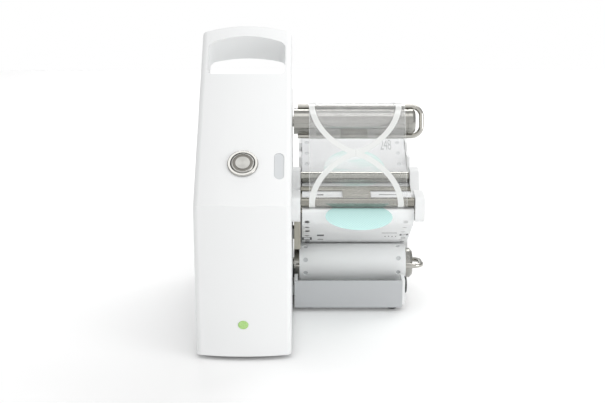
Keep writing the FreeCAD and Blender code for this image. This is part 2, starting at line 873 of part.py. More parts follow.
# Circuit board on hexagon pillars from the side plate.
plate("circuit_board", "YZ_Plane", "plate_x - board_gap - board_thick", "board_thick",
      [("board_front", "board_low"), ("board_rear", "board_low"),
       ("board_rear", "board_high"), ("board_front", "board_high")])


def board_pillars():
    pieces = []
    for y in (dim.board_front + dim.pillar_inset, dim.board_rear - dim.pillar_inset):
        for z in (dim.board_low + dim.pillar_inset, dim.board_high - dim.pillar_inset):
            place = V(dim.plate_x - dim.board_gap, y, z)
            pieces.append(hex_bar(place, TURN_X, dim.pillar_radius, dim.board_gap))
    return Part.makeCompound(pieces)


shaped("board_pillars", board_pillars())


# Motor bracket: a plate held off the side plate by three square legs.
def motor_bracket():
    x, y, z = dim.motor_x, dim.motor_y, dim.drive_z
    half, back, drop = dim.bracket_half, dim.bracket_back, dim.bracket_drop
    face = prism([V(x, y - back, z - half), V(x, y - drop, z - half - drop),
                  V(x, y + drop, z - half - drop), V(x, y + half, z - half),
                  V(x, y + half, z + half), V(x, y - back, z + half)], V(dim.bracket_thick, 0, 0))
    body = face.cut(Part.makeCylinder(dim.motor_shaft + 1, 10, V(x - 4, y, z), TURN_X))
    leg = dim.leg_width
    length = dim.plate_x - x
    for dy, dz in ((-back, half - leg), (-back, -half), (0, -half - drop)):
        body = body.fuse(Part.makeBox(length, leg, leg, V(x, y + dy, z + dz)))
    return body.removeSplitter()


shaped("motor_bracket", motor_bracket())


def gear_motor():
    """A square gearbox with a round motor behind it."""
    x = dim.motor_x - dim.gearbox_length
    y, z = dim.motor_y, dim.drive_z
    half = dim.gearbox_half
    gearbox = Part.makeBox(dim.gearbox_length, 2 * half, 2 * half, V(x, y - half, z - half))
    length = dim.motor_length
    return gearbox.fuse(Part.makeCylinder(dim.motor_radius, length, V(x - length, y, z), TURN_X))


shaped("gear_motor", gear_motor())


# Gears, pulleys and belts.
def gear_wheel(teeth, x, y, z, bore_radius, phase):
    """A spur gear with straight-flanked teeth and running backlash."""
    module = dim.gear_module
    pitch = module * teeth / 2
    root, tip = pitch - 1.25 * module, pitch + 0.9 * module
    step = 2 * math.pi / teeth
    points = []
    for tooth in range(teeth):
        middle = phase + tooth * step
        for radius, share in ((root, -0.36), (pitch, -0.22), (tip, -0.1),
                              (tip, 0.1), (pitch, 0.22), (root, 0.36)):
            angle = middle + share * step
            points.append(V(x, y + radius * math.cos(angle), z + radius * math.sin(angle)))
    wheel = prism(points, V(dim.gear_width, 0, 0))
    return wheel.cut(Part.makeCylinder(bore_radius, 20, V(x - 5, y, z), TURN_X))


teeth = int(dim.gear_teeth)
small = int(dim.pinion_teeth)
shaped("drive_gear", gear_wheel(teeth, dim.gear_x, dim.drive_y, dim.drive_z,
                                dim.drive_shaft, math.pi))
shaped("motor_pinion", gear_wheel(small, dim.gear_x, dim.motor_y, dim.drive_z,
                                  dim.motor_shaft, math.pi / small))
turned("motor_shaft", [
    ("motor_x + 0.3", "0"), ("-plate_thick", "0"), ("-plate_thick", "motor_shaft"),
    ("gear_x - 0.6", "motor_shaft"), ("gear_x - 0.6", "motor_pulley"),
    ("lower_belt_x - 0.6", "motor_pulley"), ("lower_belt_x - 0.6", "motor_shaft"),
    ("motor_x + 0.3", "motor_shaft")], "motor_y", "drive_z")
for name, belt_x, radius_name, z_name in (
        ("upper_pulley", "upper_belt_x", "upper_pulley_radius", "upper_z"),
        ("lower_pulley", "lower_belt_x", "lower_pulley_radius", "lower_z")):
    turned(name, [
        (belt_x + " - rim", "spool_shaft"), (belt_x + " + belt_width + rim", "spool_shaft"),
        (belt_x + " + belt_width + rim", radius_name), (belt_x + " - rim", radius_name)],
        "spool_y", z_name)
gap = dim.clearance
shaped("upper_belt", loop_band([
    (dim.motor_y, dim.drive_z, dim.motor_pulley + gap, 1),
    (dim.spool_y, dim.upper_z, dim.upper_pulley_radius + gap, 1)],
    dim.belt_thick, dim.upper_belt_x, dim.belt_width))
shaped("lower_belt", loop_band([
    (dim.motor_y, dim.drive_z, dim.motor_pulley + gap, 1),
    (dim.spool_y, dim.lower_z, dim.lower_pulley_radius + gap, 1)],
    dim.belt_thick, dim.lower_belt_x, dim.belt_width))

# Arms that hold the rollers: one screwed to the housing and one at the open end.
ARM = [("arm_front", "arm_bottom"), ("drive_y + arm_rear_boss / 2", "arm_bottom"),
       ("drive_y + arm_rear_boss / 2", "arm_top"), ("drive_y - arm_rear_boss / 2", "arm_top"),
       ("drive_y - arm_rear_boss / 2 - 7", "arm_saddle"),
       ("arm_front + arm_boss_length + 4", "arm_saddle"),
       ("arm_front + arm_boss_length", "arm_boss_top"), ("arm_front", "arm_boss_top")]
ARM_BORES = [("drive_y", "drive_z", "drive_shaft + fit"), ("drive_y", "hold_z", "hold_journal + fit"),
             ("peel_y", "peel_z", "peel_journal + fit")]
plate("inner_arm", "YZ_Plane", "0", "arm_thick", ARM, ARM_BORES, (0, 2, 3, 4, 5, 6, 7), "arm_round")
plate("outer_arm", "YZ_Plane", "outer_arm_x", "outer_arm_thick", ARM, ARM_BORES,
      (0, 2, 3, 4, 5, 6, 7), "arm_round")

# Carrier plate beside the housing, on spacers, with the tray's own spacers below it.
plate("carrier_plate", "YZ_Plane", "carrier_gap", "carrier_thick",
      [("carrier_front", "carrier_bottom"), ("carrier_rear", "carrier_bottom"),
       ("carrier_rear", "arm_bottom"), ("carrier_front", "arm_bottom")])
group("wall_spacers", [
    box("carrier_spacer_a", "0", "carrier_front + 6", "carrier_bottom + 6",
        "carrier_gap", "spacer_side", "spacer_side"),
    box("carrier_spacer_b", "0", "carrier_rear - 14", "carrier_bottom + 6",
        "carrier_gap", "spacer_side", "spacer_side"),
    box("tray_spacer_a", "0", "tray_front_y + 5", "tray_top + 3",
        "tray_side", "spacer_side", "spacer_side"),
    box("tray_spacer_b", "0", "tray_front_y + trough_length - 9", "tray_top + 3",
        "tray_side", "spacer_side", "spacer_side")])


# Strip path and the steel peel table under it, with a rounded front edge.
def table_at(y):
    """Height of the table's top at a place along it: it falls to the front."""
    return dim.table_top + dim.strip_rise * (y - dim.nose_y)


STRIP_END = dim.peel_y + dim.peel_radius


def strip_stops():
    """The strip's path: up from the stack, over the rear roller, under the hold-down roller."""
    half = dim.strip_thick / 2
    over = dim.rear_radius + dim.run_gap + half
    under = dim.hold_radius + dim.run_gap + half
    start_z = dim.tray_top + dim.magazine_wall + dim.stack_height + dim.clearance
    return [(dim.rear_y + over, start_z, 0, 1), (dim.rear_y, dim.rear_z, over, 1),
            (dim.drive_y, dim.hold_z, under, -1),
            (STRIP_END, table_at(STRIP_END) + dim.clearance + half, 0, 1)]


def peel_table():
    nose = dim.table_thick / 2
    front = V(dim.arm_thick, dim.nose_y, dim.table_top)
    rear = V(dim.arm_thick, dim.table_rear, table_at(dim.table_rear))
    drop = V(0, 0, -dim.table_thick)
    tip = V(dim.arm_thick, dim.table_front, dim.table_top - nose)
    bow = Part.Arc(front + drop, tip, front).toShape()
    sides = Part.makePolygon([front, rear, rear + drop, front + drop]).Edges
    return Part.Face(Part.Wire([bow] + sides)).extrude(V(dim.span, 0, 0))


shaped("peel_table", peel_table())


# Hold-down plate: a full-width band between the arms with a tongue over the strip.
def hold_down_plate():
    above = 2 * dim.clearance + dim.strip_thick

    def slab(x, width, front, rear):
        low = V(x, front, table_at(front) + above)
        high = V(x, rear, table_at(rear) + above)
        lift = V(0, 0, dim.stop_thick)
        return prism([low, high, high + lift, low + lift], V(width, 0, 0))
    band = slab(dim.arm_thick, dim.span, dim.band_front, dim.band_rear)
    tongue = slab(dim.strip_middle - dim.tongue_width / 2, dim.tongue_width,
                  dim.tongue_front, dim.band_front + 1)
    return band.fuse(tongue).removeSplitter()


shaped("hold_down_plate", hold_down_plate())

# Rollers and rods between the arms.
turned("drive_roller", [
    ("arm_thick + 1", "drive_shaft"), ("outer_arm_x - 1", "drive_shaft"),
    ("outer_arm_x - 1", "drive_radius - 0.5"), ("outer_arm_x - 1.5", "drive_radius"),
    ("arm_thick + 1.5", "drive_radius"), ("arm_thick + 1", "drive_radius - 0.5")],
    "drive_y", "drive_z")
turned("drive_axle", [
    ("gear_x - 1", "0"), ("outer_arm_x + outer_arm_thick - 1.5", "0"),
    ("outer_arm_x + outer_arm_thick - 1.5", "drive_shaft"), ("gear_x - 1", "drive_shaft")],
    "drive_y", "drive_z")
for name, radius_name, journal, y, z in (
        ("hold_down_roller", "hold_radius", "hold_journal", "drive_y", "hold_z"),
        ("peel_rod", "peel_radius", "peel_journal", "peel_y", "peel_z")):
    turned(name, [
        ("1.5", "0"), ("outer_arm_x + outer_arm_thick - 1.5", "0"),
        ("outer_arm_x + outer_arm_thick - 1.5", journal), ("outer_arm_x - 0.2", journal),
        ("outer_arm_x - 0.2", radius_name), ("arm_thick + 0.2", radius_name),
        ("arm_thick + 0.2", journal), ("1.5", journal)], y, z)
turned("rear_roller", [
    ("magazine_left + 0.3", "0"), ("magazine_left + magazine_width - 0.3", "0"),
    ("magazine_left + magazine_width - 0.3", "rear_journal"),
    ("magazine_left + magazine_width - magazine_wall - 0.3", "rear_journal"),
    ("magazine_left + magazine_width - magazine_wall - 0.3", "rear_radius"),
    ("magazine_left + magazine_wall + 0.3", "rear_radius"),
    ("magazine_left + magazine_wall + 0.3", "rear_journal"),
    ("magazine_left + 0.3", "rear_journal")], "rear_y", "rear_z")


# Strip, its film and its paper.
shaped("filter_strip", ribbon(strip_stops(), dim.strip_thick, dim.strip_side, dim.strip_width))


def film_web():
    """The clear film: under and round the peel rod, then up and over the upper spool."""
    around = dim.peel_radius + dim.run_gap + dim.film_thick / 2
    sweep = (dim.wire_upper + dim.wire_radius + dim.sleeve_gap + dim.film_wound + dim.run_gap
             + dim.film_thick)
    start = STRIP_END - dim.strip_thick
    above = dim.clearance + dim.strip_thick - dim.film_thick / 2
    stops = [(start, table_at(start) + above, 0, 1),
             (dim.peel_y, dim.peel_z, around, -1),
             (dim.spool_y, dim.upper_z, sweep, -1),
             leaving(dim.spool_y, dim.upper_z, sweep, -1, dim.upper_clip_angle - 12)]
    return ribbon(stops, dim.film_thick, dim.strip_middle - dim.film_width / 2, dim.film_width)


shaped("film_web", film_web())
PAPER_GAP = 0.1


def paper_web():
    """The paper: over the table's front edge, down, back, and over the lower spool."""
    nose = dim.table_thick / 2
    around = nose + PAPER_GAP + dim.paper_thick / 2
    nose_z = dim.table_top - nose
    fall = math.radians(dim.paper_fall)
    sweep = (dim.wire_lower + dim.wire_radius + dim.sleeve_gap + dim.paper_wound + dim.run_gap
             + dim.paper_thick)
    fold = dim.paper_fold
    fold_y = dim.nose_y - around + fold
    reach = sweep + dim.spool_y * math.sin(fall) + dim.lower_z * math.cos(fall)
    fold_z = (reach + fold - fold_y * math.sin(fall)) / math.cos(fall)
    start = STRIP_END - dim.strip_thick
    stops = [(start, table_at(start) + PAPER_GAP + dim.paper_thick / 2 + dim.fit, 0, 1),
             (dim.nose_y, nose_z, around, 1), (fold_y, fold_z, fold, 1),
             (dim.spool_y, dim.lower_z, sweep, -1),
             leaving(dim.spool_y, dim.lower_z, sweep, -1, -20)]
    return ribbon(stops, dim.paper_thick, dim.strip_side, dim.strip_width)


shaped("paper_web", paper_web())


def filter_disc():
    """The filter that is offered: it lies on the paper and stands out in line with the strip."""
    radius = dim.disc_diameter / 2
    tilt = math.degrees(math.atan(dim.strip_rise))
    rest = PAPER_GAP + dim.paper_thick + 1.5 * dim.fit
    reach = dim.table_front - dim.disc_centre
    disc = Part.makeCylinder(radius, dim.disc_thick)
    centre = V(dim.strip_middle, reach, table_at(reach) + rest)
    disc.Placement = FreeCAD.Placement(centre, FreeCAD.Rotation(TURN_X, tilt))
    beyond = Part.makeBox(4 * radius, 4 * radius, 4 * radius,
                          V(dim.strip_middle - 2 * radius, dim.peel_y - 1, dim.table_top - radius))
    return disc.cut(beyond)


shaped("filter_disc", filter_disc())


# Take-up spools, their wire clips and what is wound on them.
def spool(z, radius, end, wire_ring, clip_angle):
    y = dim.spool_y
    chamfer = dim.end_chamfer
    start = 1.2
    inner = dim.lower_belt_x - 3
    profile = [V(inner, 0, 0), V(inner, dim.spool_shaft, 0), V(start, dim.spool_shaft, 0),
               V(start, radius, 0), V(end - chamfer, radius, 0), V(end, radius - chamfer, 0),
               V(end, 0, 0)]
    body = Part.Face(Part.makePolygon(profile + [profile[0]])).revolve(V(0, 0, 0), TURN_X, 360)
    for turn in (0, 180):
        angle = math.radians(clip_angle + turn)
        groove = Part.makeCylinder(dim.wire_radius + 0.25, end, V(2.5, wire_ring * math.cos(angle),
                                                                   wire_ring * math.sin(angle)), TURN_X)
        body = body.cut(groove)
    body.translate(V(0, y, z))
    return body


def clip(z, loop, wire_ring, clip_angle):
    """A hairpin of round wire: two legs in the spool's grooves and a loop to pull."""
    angle = math.radians(clip_angle)
    out = V(0, math.cos(angle), math.sin(angle))
    corner = dim.loop_round
    far = loop - dim.wire_radius
    bend = far - corner
    short = wire_ring - corner
    diagonal = corner * math.sqrt(0.5)
    start = V(dim.wire_start, 0, 0) + out * wire_ring
    points = {
        "knee": V(bend, 0, 0) + out * wire_ring,
        "over": V(bend + diagonal, 0, 0) + out * (short + diagonal),
        "top": V(far, 0, 0) + out * short,
        "low": V(far, 0, 0) - out * short,
        "under": V(bend + diagonal, 0, 0) - out * (short + diagonal),
        "heel": V(bend, 0, 0) - out * wire_ring,
        "end": V(dim.wire_start, 0, 0) - out * wire_ring,
    }
    path = Part.Wire([
        Part.makeLine(start, points["knee"]),
        Part.Arc(points["knee"], points["over"], points["top"]).toShape(),
        Part.makeLine(points["top"], points["low"]),
        Part.Arc(points["low"], points["under"], points["heel"]).toShape(),
        Part.makeLine(points["heel"], points["end"])])
    section = Part.Wire(Part.makeCircle(dim.wire_radius, start, TURN_X))
    body = path.makePipeShell([section], True, False)
    body.translate(V(0, dim.spool_y, z))
    return body


def wound(z, radius, wire_ring, clip_angle, thick, x, width):
    """What is wound on a spool: a sleeve drawn tight over the spool and the two legs."""
    def hull(grow):
        angle = math.radians(clip_angle)
        wire = dim.wire_radius + dim.sleeve_gap + grow
        y, zc = dim.spool_y, z
        legs = [(y + wire_ring * math.cos(angle + turn), zc + wire_ring * math.sin(angle + turn))
                for turn in (0, math.pi)]
        tight = [(legs[0][0], legs[0][1], wire, 1), (legs[1][0], legs[1][1], wire, 1)]
        band = Part.Face(Part.Wire(course(tight, 0, x, True))).extrude(V(width, 0, 0))
        round_part = Part.makeCylinder(radius + 0.05 + grow, width, V(x, y, zc), TURN_X)
        wings = [band, round_part]
        for leg in legs:
            near = [(y, zc, radius + 0.05 + grow, 1), (leg[0], leg[1], wire, 1)]
            wings.append(Part.Face(Part.Wire(course(near, 0, x, True))).extrude(V(width, 0, 0)))
        return wings[0].multiFuse(wings[1:]).removeSplitter()
    return hull(thick).cut(hull(0)).removeSplitter()


shaped("upper_spool", spool(dim.upper_z, dim.upper_radius, dim.upper_end, dim.wire_upper,
                            dim.upper_clip_angle))
shaped("lower_spool", spool(dim.lower_z, dim.lower_radius, dim.lower_end, dim.wire_lower,
                            dim.lower_clip_angle))
shaped("upper_clip", clip(dim.upper_z, dim.upper_loop, dim.wire_upper, dim.upper_clip_angle))
shaped("lower_clip", clip(dim.lower_z, dim.lower_loop, dim.wire_lower, dim.lower_clip_angle))
shaped("film_roll", wound(dim.upper_z, dim.upper_radius, dim.wire_upper, dim.upper_clip_angle,
                          dim.film_wound, dim.strip_middle - dim.film_width / 2, dim.film_width))
shaped("paper_roll", wound(dim.lower_z, dim.lower_radius, dim.wire_lower, dim.lower_clip_angle,
                           dim.paper_wound, dim.strip_side - 2, dim.strip_width))

# Magazine: an open box behind the arms, with a low front lip and the rear roller in its sides.
shell = box("magazine_block", "magazine_left", "magazine_front", "tray_top",
            "magazine_width", "magazine_rear - magazine_front", "magazine_top - tray_top")
room = box("magazine_room", "magazine_left + magazine_wall", "magazine_front + magazine_wall",
           "tray_top + magazine_wall", "magazine_width - 2 * magazine_wall",
           "magazine_rear - magazine_front - 2 * magazine_wall", "magazine_top")
lip = box("magazine_lip_cut", "magazine_left + magazine_wall", "magazine_front - 1", "magazine_lip",
          "magazine_width - 2 * magazine_wall", "magazine_wall + 2", "magazine_top")
bores = rod("magazine_bore", "magazine_left - 5", "rear_y", "rear_z", "rear_journal + fit",
            "magazine_width + 10")
crown_a = box("magazine_ear", "magazine_left", "rear_y - 10", "rear_z - 4", "magazine_width", "20", "12")
ear_room = box("magazine_ear_room", "magazine_left + magazine_wall", "rear_y - 11", "rear_z - 5",
               "magazine_width - 2 * magazine_wall", "22", "20")
magazine = cut("magazine_cut", joined("magazine_whole", [shell, crown_a]),
               joined("magazine_tools", [room, lip, bores, ear_room]))
magazine.Label = "magazine"
seat(magazine)

# Fan-folded stack of strip in the magazine.
stack = box("strip_stack", "strip_side", "(magazine_front + magazine_rear - stack_length) / 2",
            "tray_top + magazine_wall", "strip_width", "stack_length", "stack_height")
seat(stack, "(magazine_front + magazine_rear - stack_length) / 2", "tray_top + magazine_wall",
     "strip_side")

# Tray: a floor under the magazine and a trough for the lower roll, with a grey front panel.
floor = box("tray_floor_block", "tray_side", "tray_front_y + tray_panel", "tray_bottom",
            "tray_right - tray_side", "magazine_rear - tray_front_y - tray_panel", "tray_floor")
left_wall = box("tray_left", "tray_side", "tray_front_y + tray_panel", "tray_bottom",
                "tray_wall", "trough_length", "tray_height - tray_bottom")
right_wall = box("tray_right_wall", "tray_right - tray_wall", "tray_front_y + tray_panel", "tray_bottom",
                 "tray_wall", "trough_length", "tray_height - tray_bottom")
sweep = rod("tray_sweep", "tray_side - 5", "spool_y", "lower_z",
            "wire_lower + wire_radius + paper_wound + 1.6", "tray_right + 10")
tray = cut("tray_cut", joined("tray_whole", [floor, left_wall, right_wall]), sweep)
tray.Label = "tray"
seat(tray)
plate("tray_front", "XZ_Plane", "-tray_front_y - tray_panel", "tray_panel",
      [("tray_side", "foot_height"), ("tray_right - 2", "foot_height"),
       ("tray_right - 2", "tray_height"), ("tray_side", "tray_height")])
cap = rod("side_cap", "tray_right", "tray_front_y + 10", "tray_top + 9.7", "cap_radius", "cap_thick")
seat(cap, "tray_front_y + 10", "tray_top + 9.7", "tray_right")

# Write every piece.
NODES = """housing_shell floor_plate side_plate shaft_bushes rear_panel power_socket foot_switch_socket
panel_screws rubber_feet button_bezel start_button button_switch sensor_window sensor_board lamp_lens
circuit_board board_pillars motor_bracket gear_motor drive_gear motor_pinion motor_shaft upper_pulley
lower_pulley upper_belt lower_belt inner_arm outer_arm carrier_plate wall_spacers peel_table
hold_down_plate drive_roller drive_axle hold_down_roller peel_rod rear_roller filter_strip film_web
paper_web filter_disc upper_spool lower_spool upper_clip lower_clip film_roll paper_roll magazine
strip_stack tray tray_front side_cap""".split()
doc.recompute()
for item in doc.Objects:
    if {"Invalid", "Error"} & set(item.State):
        raise RuntimeError("%s failed: %s" % (item.Label, item.State))
os.makedirs("parts", exist_ok=True)
for node in NODES:
    item = doc.getObjectsByLabel(node)[0]
    shape = item.Shape
    if shape.isNull() or not shape.isValid() or not shape.Solids:
        raise RuntimeError("%s has no valid shape" % node)
    shape.exportStep("parts/%s.step" % node)
    box_of = shape.BoundBox
    print("%-20s solids %d  x %7.2f %7.2f  y %7.2f %7.2f  z %7.2f %7.2f" % (
        node, len(shape.Solids), box_of.XMin, box_of.XMax, box_of.YMin, box_of.YMax,
        box_of.ZMin, box_of.ZMax))
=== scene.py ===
import json
import math
import bmesh
import bpy
from mathutils import Matrix, Vector


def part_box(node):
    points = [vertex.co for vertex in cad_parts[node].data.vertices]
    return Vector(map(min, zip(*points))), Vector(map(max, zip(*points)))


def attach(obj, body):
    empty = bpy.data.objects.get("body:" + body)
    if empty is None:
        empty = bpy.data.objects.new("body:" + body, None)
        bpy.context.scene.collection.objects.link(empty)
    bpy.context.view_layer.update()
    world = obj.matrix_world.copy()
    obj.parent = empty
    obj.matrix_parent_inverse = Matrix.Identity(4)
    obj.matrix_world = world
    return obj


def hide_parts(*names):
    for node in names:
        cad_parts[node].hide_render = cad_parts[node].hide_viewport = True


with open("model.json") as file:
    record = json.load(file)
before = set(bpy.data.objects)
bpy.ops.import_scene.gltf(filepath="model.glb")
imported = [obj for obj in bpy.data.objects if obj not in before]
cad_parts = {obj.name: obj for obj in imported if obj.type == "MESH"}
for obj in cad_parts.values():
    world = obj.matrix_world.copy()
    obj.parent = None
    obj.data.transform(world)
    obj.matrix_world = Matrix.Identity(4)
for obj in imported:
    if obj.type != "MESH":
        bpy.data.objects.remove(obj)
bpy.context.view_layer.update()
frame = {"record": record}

MM = 0.001
scene = bpy.context.scene
scene.view_settings.view_transform = "Standard"


# Camera: a long lens on a stand, level from side to side and tipped down at the bench.
# Its place is worked back from the photograph, which is 605 by 403 pixels.
FRAME_WIDTH = 605
FOCAL_PIXELS = 1154.0
SENSOR_WIDTH = 36.0
CAMERA_PLACE = (-10.2, -825.2, 329.5)
TIPPED_DOWN = 17
camera_data = bpy.data.cameras.new("camera")
camera_data.sensor_width = SENSOR_WIDTH
camera_data.lens = SENSOR_WIDTH * FOCAL_PIXELS / FRAME_WIDTH
camera = bpy.data.objects.new("camera", camera_data)
camera.location = Vector(CAMERA_PLACE) * MM
camera.rotation_euler = (math.radians(90 - TIPPED_DOWN), 0, 0)
scene.collection.objects.link(camera)
scene.camera = camera


# Bench and studio: a white laminate top in a bright room, with softboxes above, behind and on
# the right. The room is brighter in front than at the sides and behind, so that polished metal
# has a darker side to mirror. The camera sees plain white.
def linear(code):
    """A screen colour such as F4F4F4 as the linear numbers that a shader takes."""
    parts = [int(code[i:i + 2], 16) / 255 for i in (0, 2, 4)]
    return [p / 12.92 if p <= 0.04045 else ((p + 0.055) / 1.055) ** 2.4 for p in parts] + [1.0]


def add(tree, kind, settings=None, links=None):
    """Adds a node, sets its properties and inputs, and links sockets into it."""
    node = tree.nodes.new(kind)
    for key, value in (settings or {}).items():
        if isinstance(key, str) and hasattr(node, key) and key not in node.inputs:
            setattr(node, key, value)
        else:
            node.inputs[key].default_value = value
    for key, socket in (links or {}).items():
        tree.links.new(socket, node.inputs[key])
    return node


def empty_material(name):
    material = bpy.data.materials.new(name)
    material.use_nodes = True
    material.node_tree.nodes.clear()
    return material, material.node_tree


BENCH_FRONT = -1.5
BENCH_BACK = 0.95
BENCH_DROP = 0.0002
BENCH_GLOW = 0.03
bench = bpy.data.meshes.new("bench")
shape = bmesh.new()
bmesh.ops.create_grid(shape, x_segments=1, y_segments=1, size=(BENCH_BACK - BENCH_FRONT) / 2)
bmesh.ops.translate(shape, verts=shape.verts, vec=(0, (BENCH_BACK + BENCH_FRONT) / 2, -BENCH_DROP))
shape.to_mesh(bench)
shape.free()
bench_piece = bpy.data.objects.new("bench", bench)
scene.collection.objects.link(bench_piece)
laminate, tree = empty_material("white_laminate")
rays = add(tree, "ShaderNodeLightPath")
lit = add(tree, "ShaderNodeBsdfDiffuse", {"Color": linear("FCFCFC")})
glow = add(tree, "ShaderNodeEmission", {"Color": (1, 1, 1, 1), "Strength": BENCH_GLOW})
seen = add(tree, "ShaderNodeAddShader", links={0: lit.outputs[0], 1: glow.outputs[0]})
mixed = add(tree, "ShaderNodeMixShader", links={0: rays.outputs["Is Camera Ray"],
                                                1: lit.outputs[0], 2: seen.outputs[0]})
add(tree, "ShaderNodeOutputMaterial", links={"Surface": mixed.outputs[0]})
bench.materials.append(laminate)

ROOM_ASIDE = 0.5
ROOM_IN_FRONT = 1.03
world = bpy.data.worlds.new("studio")
scene.world = world
world.use_nodes = True
tree = world.node_tree
tree.nodes.clear()
rays = add(tree, "ShaderNodeLightPath")
place = add(tree, "ShaderNodeTexCoord")
split = add(tree, "ShaderNodeSeparateXYZ", links={0: place.outputs["Generated"]})
level = add(tree, "ShaderNodeMapRange",
            {"From Min": 0.0, "From Max": -1.0, "To Min": ROOM_ASIDE, "To Max": ROOM_IN_FRONT},
            {"Value": split.outputs["Y"]})
room = add(tree, "ShaderNodeBackground", {"Color": (1, 1, 1, 1)}, {"Strength": level.outputs[0]})
backdrop = add(tree, "ShaderNodeBackground", {"Color": (1, 1, 1, 1), "Strength": 1.0})
clear = add(tree, "ShaderNodeMath", {"operation": "MAXIMUM"},
            {0: rays.outputs["Is Camera Ray"], 1: rays.outputs["Is Transmission Ray"]})
sky = add(tree, "ShaderNodeMixShader", links={0: clear.outputs[0], 1: room.outputs[0],
                                              2: backdrop.outputs[0]})
add(tree, "ShaderNodeOutputWorld", links={"Surface": sky.outputs[0]})


def softbox(name, size, place_at, target, watts):
    """A rectangular lamp of size width by height, turned to look at its target."""
    lamp = bpy.data.lights.new(name, "AREA")
    lamp.shape = "RECTANGLE"
    lamp.size, lamp.size_y = size
    lamp.energy = watts
    holder = bpy.data.objects.new(name, lamp)
    holder.location = place_at
    holder.rotation_euler = (Vector(target) - Vector(place_at)).to_track_quat("-Z", "Y").to_euler()
    scene.collection.objects.link(holder)


softbox("top_box", (1.2, 0.5), (0.0, -0.3, 1.1), (0, 0, 0.05), 2.7)
softbox("back_box", (1.3, 0.45), (0.3, 0.8, 1.0), (0, 0, 0.05), 8.0)
softbox("right_box", (0.9, 0.7), (1.4, -0.8, 0.35), (0.03, 0, 0.08), 7.0)


# Housing: one moulding in polyurethane, with its carrying grip, finished in satin white
# two-part paint. The paint gives broad soft highlights and a barely pebbled skin.
def principled(name, colour, roughness, metallic=0.0, **sockets):
    """A material with one Principled shader; returns it with its tree and shader."""
    material, tree = empty_material(name)
    shader = add(tree, "ShaderNodeBsdfPrincipled",
                 {"Base Color": linear(colour), "Roughness": roughness, "Metallic": metallic})
    for key, value in sockets.items():
        shader.inputs[key.replace("_", " ")].default_value = value
    add(tree, "ShaderNodeOutputMaterial", links={"Surface": shader.outputs[0]})
    return material, tree, shader


def grain(tree, shader, pitch, strength, stretch=(1, 1, 1), depth=0.02, detail=2.0):
    """Fine relief: a noise of a pitch in millimetres, stretched along an axis.

    A pitch under a millimetre is coarser than the real grain, which is too fine to show.
    """
    place = add(tree, "ShaderNodeTexCoord")
    turn = add(tree, "ShaderNodeMapping", {"Scale": stretch}, {"Vector": place.outputs["Object"]})
    noise = add(tree, "ShaderNodeTexNoise", {"Scale": 1 / (pitch * MM), "Detail": detail},
                {"Vector": turn.outputs[0]})
    bump = add(tree, "ShaderNodeBump", {"Strength": strength, "Distance": depth * MM},
               {"Height": noise.outputs["Fac"]})
    tree.links.new(bump.outputs[0], shader.inputs["Normal"])
    return noise


def uneven(tree, shader, noise, low, high):
    """Lets a noise vary the roughness between two values."""
    spread = add(tree, "ShaderNodeMapRange",
                 {"From Min": 0.3, "From Max": 0.7, "To Min": low, "To Max": high},
                 {"Value": noise.outputs["Fac"]})
    tree.links.new(spread.outputs[0], shader.inputs["Roughness"])


BODY_OF = {node: body for body, nodes in frame["record"]["behaviour"]["bodies"].items()
           for node in nodes}
# Angles are in degrees and lengths in millimetres.
SHARP_ANGLE = 32
NEARLY_FLAT = 0.5
SAME_PLACE = 0.002
NO_LENGTH = 0.001


def finished(name, shape, material, body, *nodes):
    """Makes a piece from a shape, smooth between its sharp edges, riding on a body."""
    for face in shape.faces:
        face.smooth = True
    for edge in shape.edges:
        edge.smooth = (len(edge.link_faces) == 2
                       and edge.calc_face_angle(0) < math.radians(SHARP_ANGLE))
    mesh = bpy.data.meshes.new(name)
    shape.to_mesh(mesh)
    shape.free()
    mesh.materials.append(material)
    piece = bpy.data.objects.new(name, mesh)
    scene.collection.objects.link(piece)
    even = piece.modifiers.new("even_shading", "WEIGHTED_NORMAL")
    even.keep_sharp = True
    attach(piece, body)
    if nodes:
        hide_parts(*nodes)
    return piece


def dressed(node, material, edge=0.0, work=None):
    """Stands a merged copy of a CAD node in its place, with its finish and soft edges.

    Work is a function that cuts finer detail into the copy.
    """
    shape = bmesh.new()
    shape.from_mesh(bpy.data.objects[node].data)
    bmesh.ops.remove_doubles(shape, verts=shape.verts, dist=SAME_PLACE * MM)
    bmesh.ops.dissolve_degenerate(shape, edges=shape.edges, dist=NO_LENGTH * MM)
    if edge:
        bmesh.ops.dissolve_limit(shape, angle_limit=math.radians(NEARLY_FLAT),
                                 verts=shape.verts, edges=shape.edges)
        keen = [e for e in shape.edges
                if len(e.link_faces) == 2 and e.calc_face_angle(0) > math.radians(SHARP_ANGLE)]
        bmesh.ops.bevel(shape, geom=keen, offset=edge * MM, segments=2, profile=0.5,
                        affect="EDGES", material=-1, clamp_overlap=True)
    if work:
        work(shape, node)
    return finished(node + "_finished", shape, material, BODY_OF[node], node)


white_paint, tree, shader = principled("satin_two_part_paint", "EAEBEB", 0.38, Coat_Weight=0.12,
                                       Coat_Roughness=0.3)
noise = grain(tree, shader, pitch=1.2, strength=0.10)
uneven(tree, shader, noise, 0.34, 0.44)
dressed("housing_shell", white_paint, edge=1.2)


# Base and rear panel: zinc-plated sheet inside and a moulded white panel behind, held by
# hexagon screws, with two plain black sockets and rubber feet pressed in below.
# Plated zinc is a dull cloudy grey, and spark-grained ABS is matt with a faint tooth.
zinc, tree, shader = principled("zinc_plated_sheet", "A9ABAB", 0.42, 1.0)
noise = grain(tree, shader, pitch=2.5, strength=0.08, detail=4.0)
uneven(tree, shader, noise, 0.34, 0.5)
moulded_white, tree, shader = principled("spark_grained_abs", "E8E9E9", 0.5)
noise = grain(tree, shader, pitch=0.6, strength=0.16)
uneven(tree, shader, noise, 0.44, 0.56)
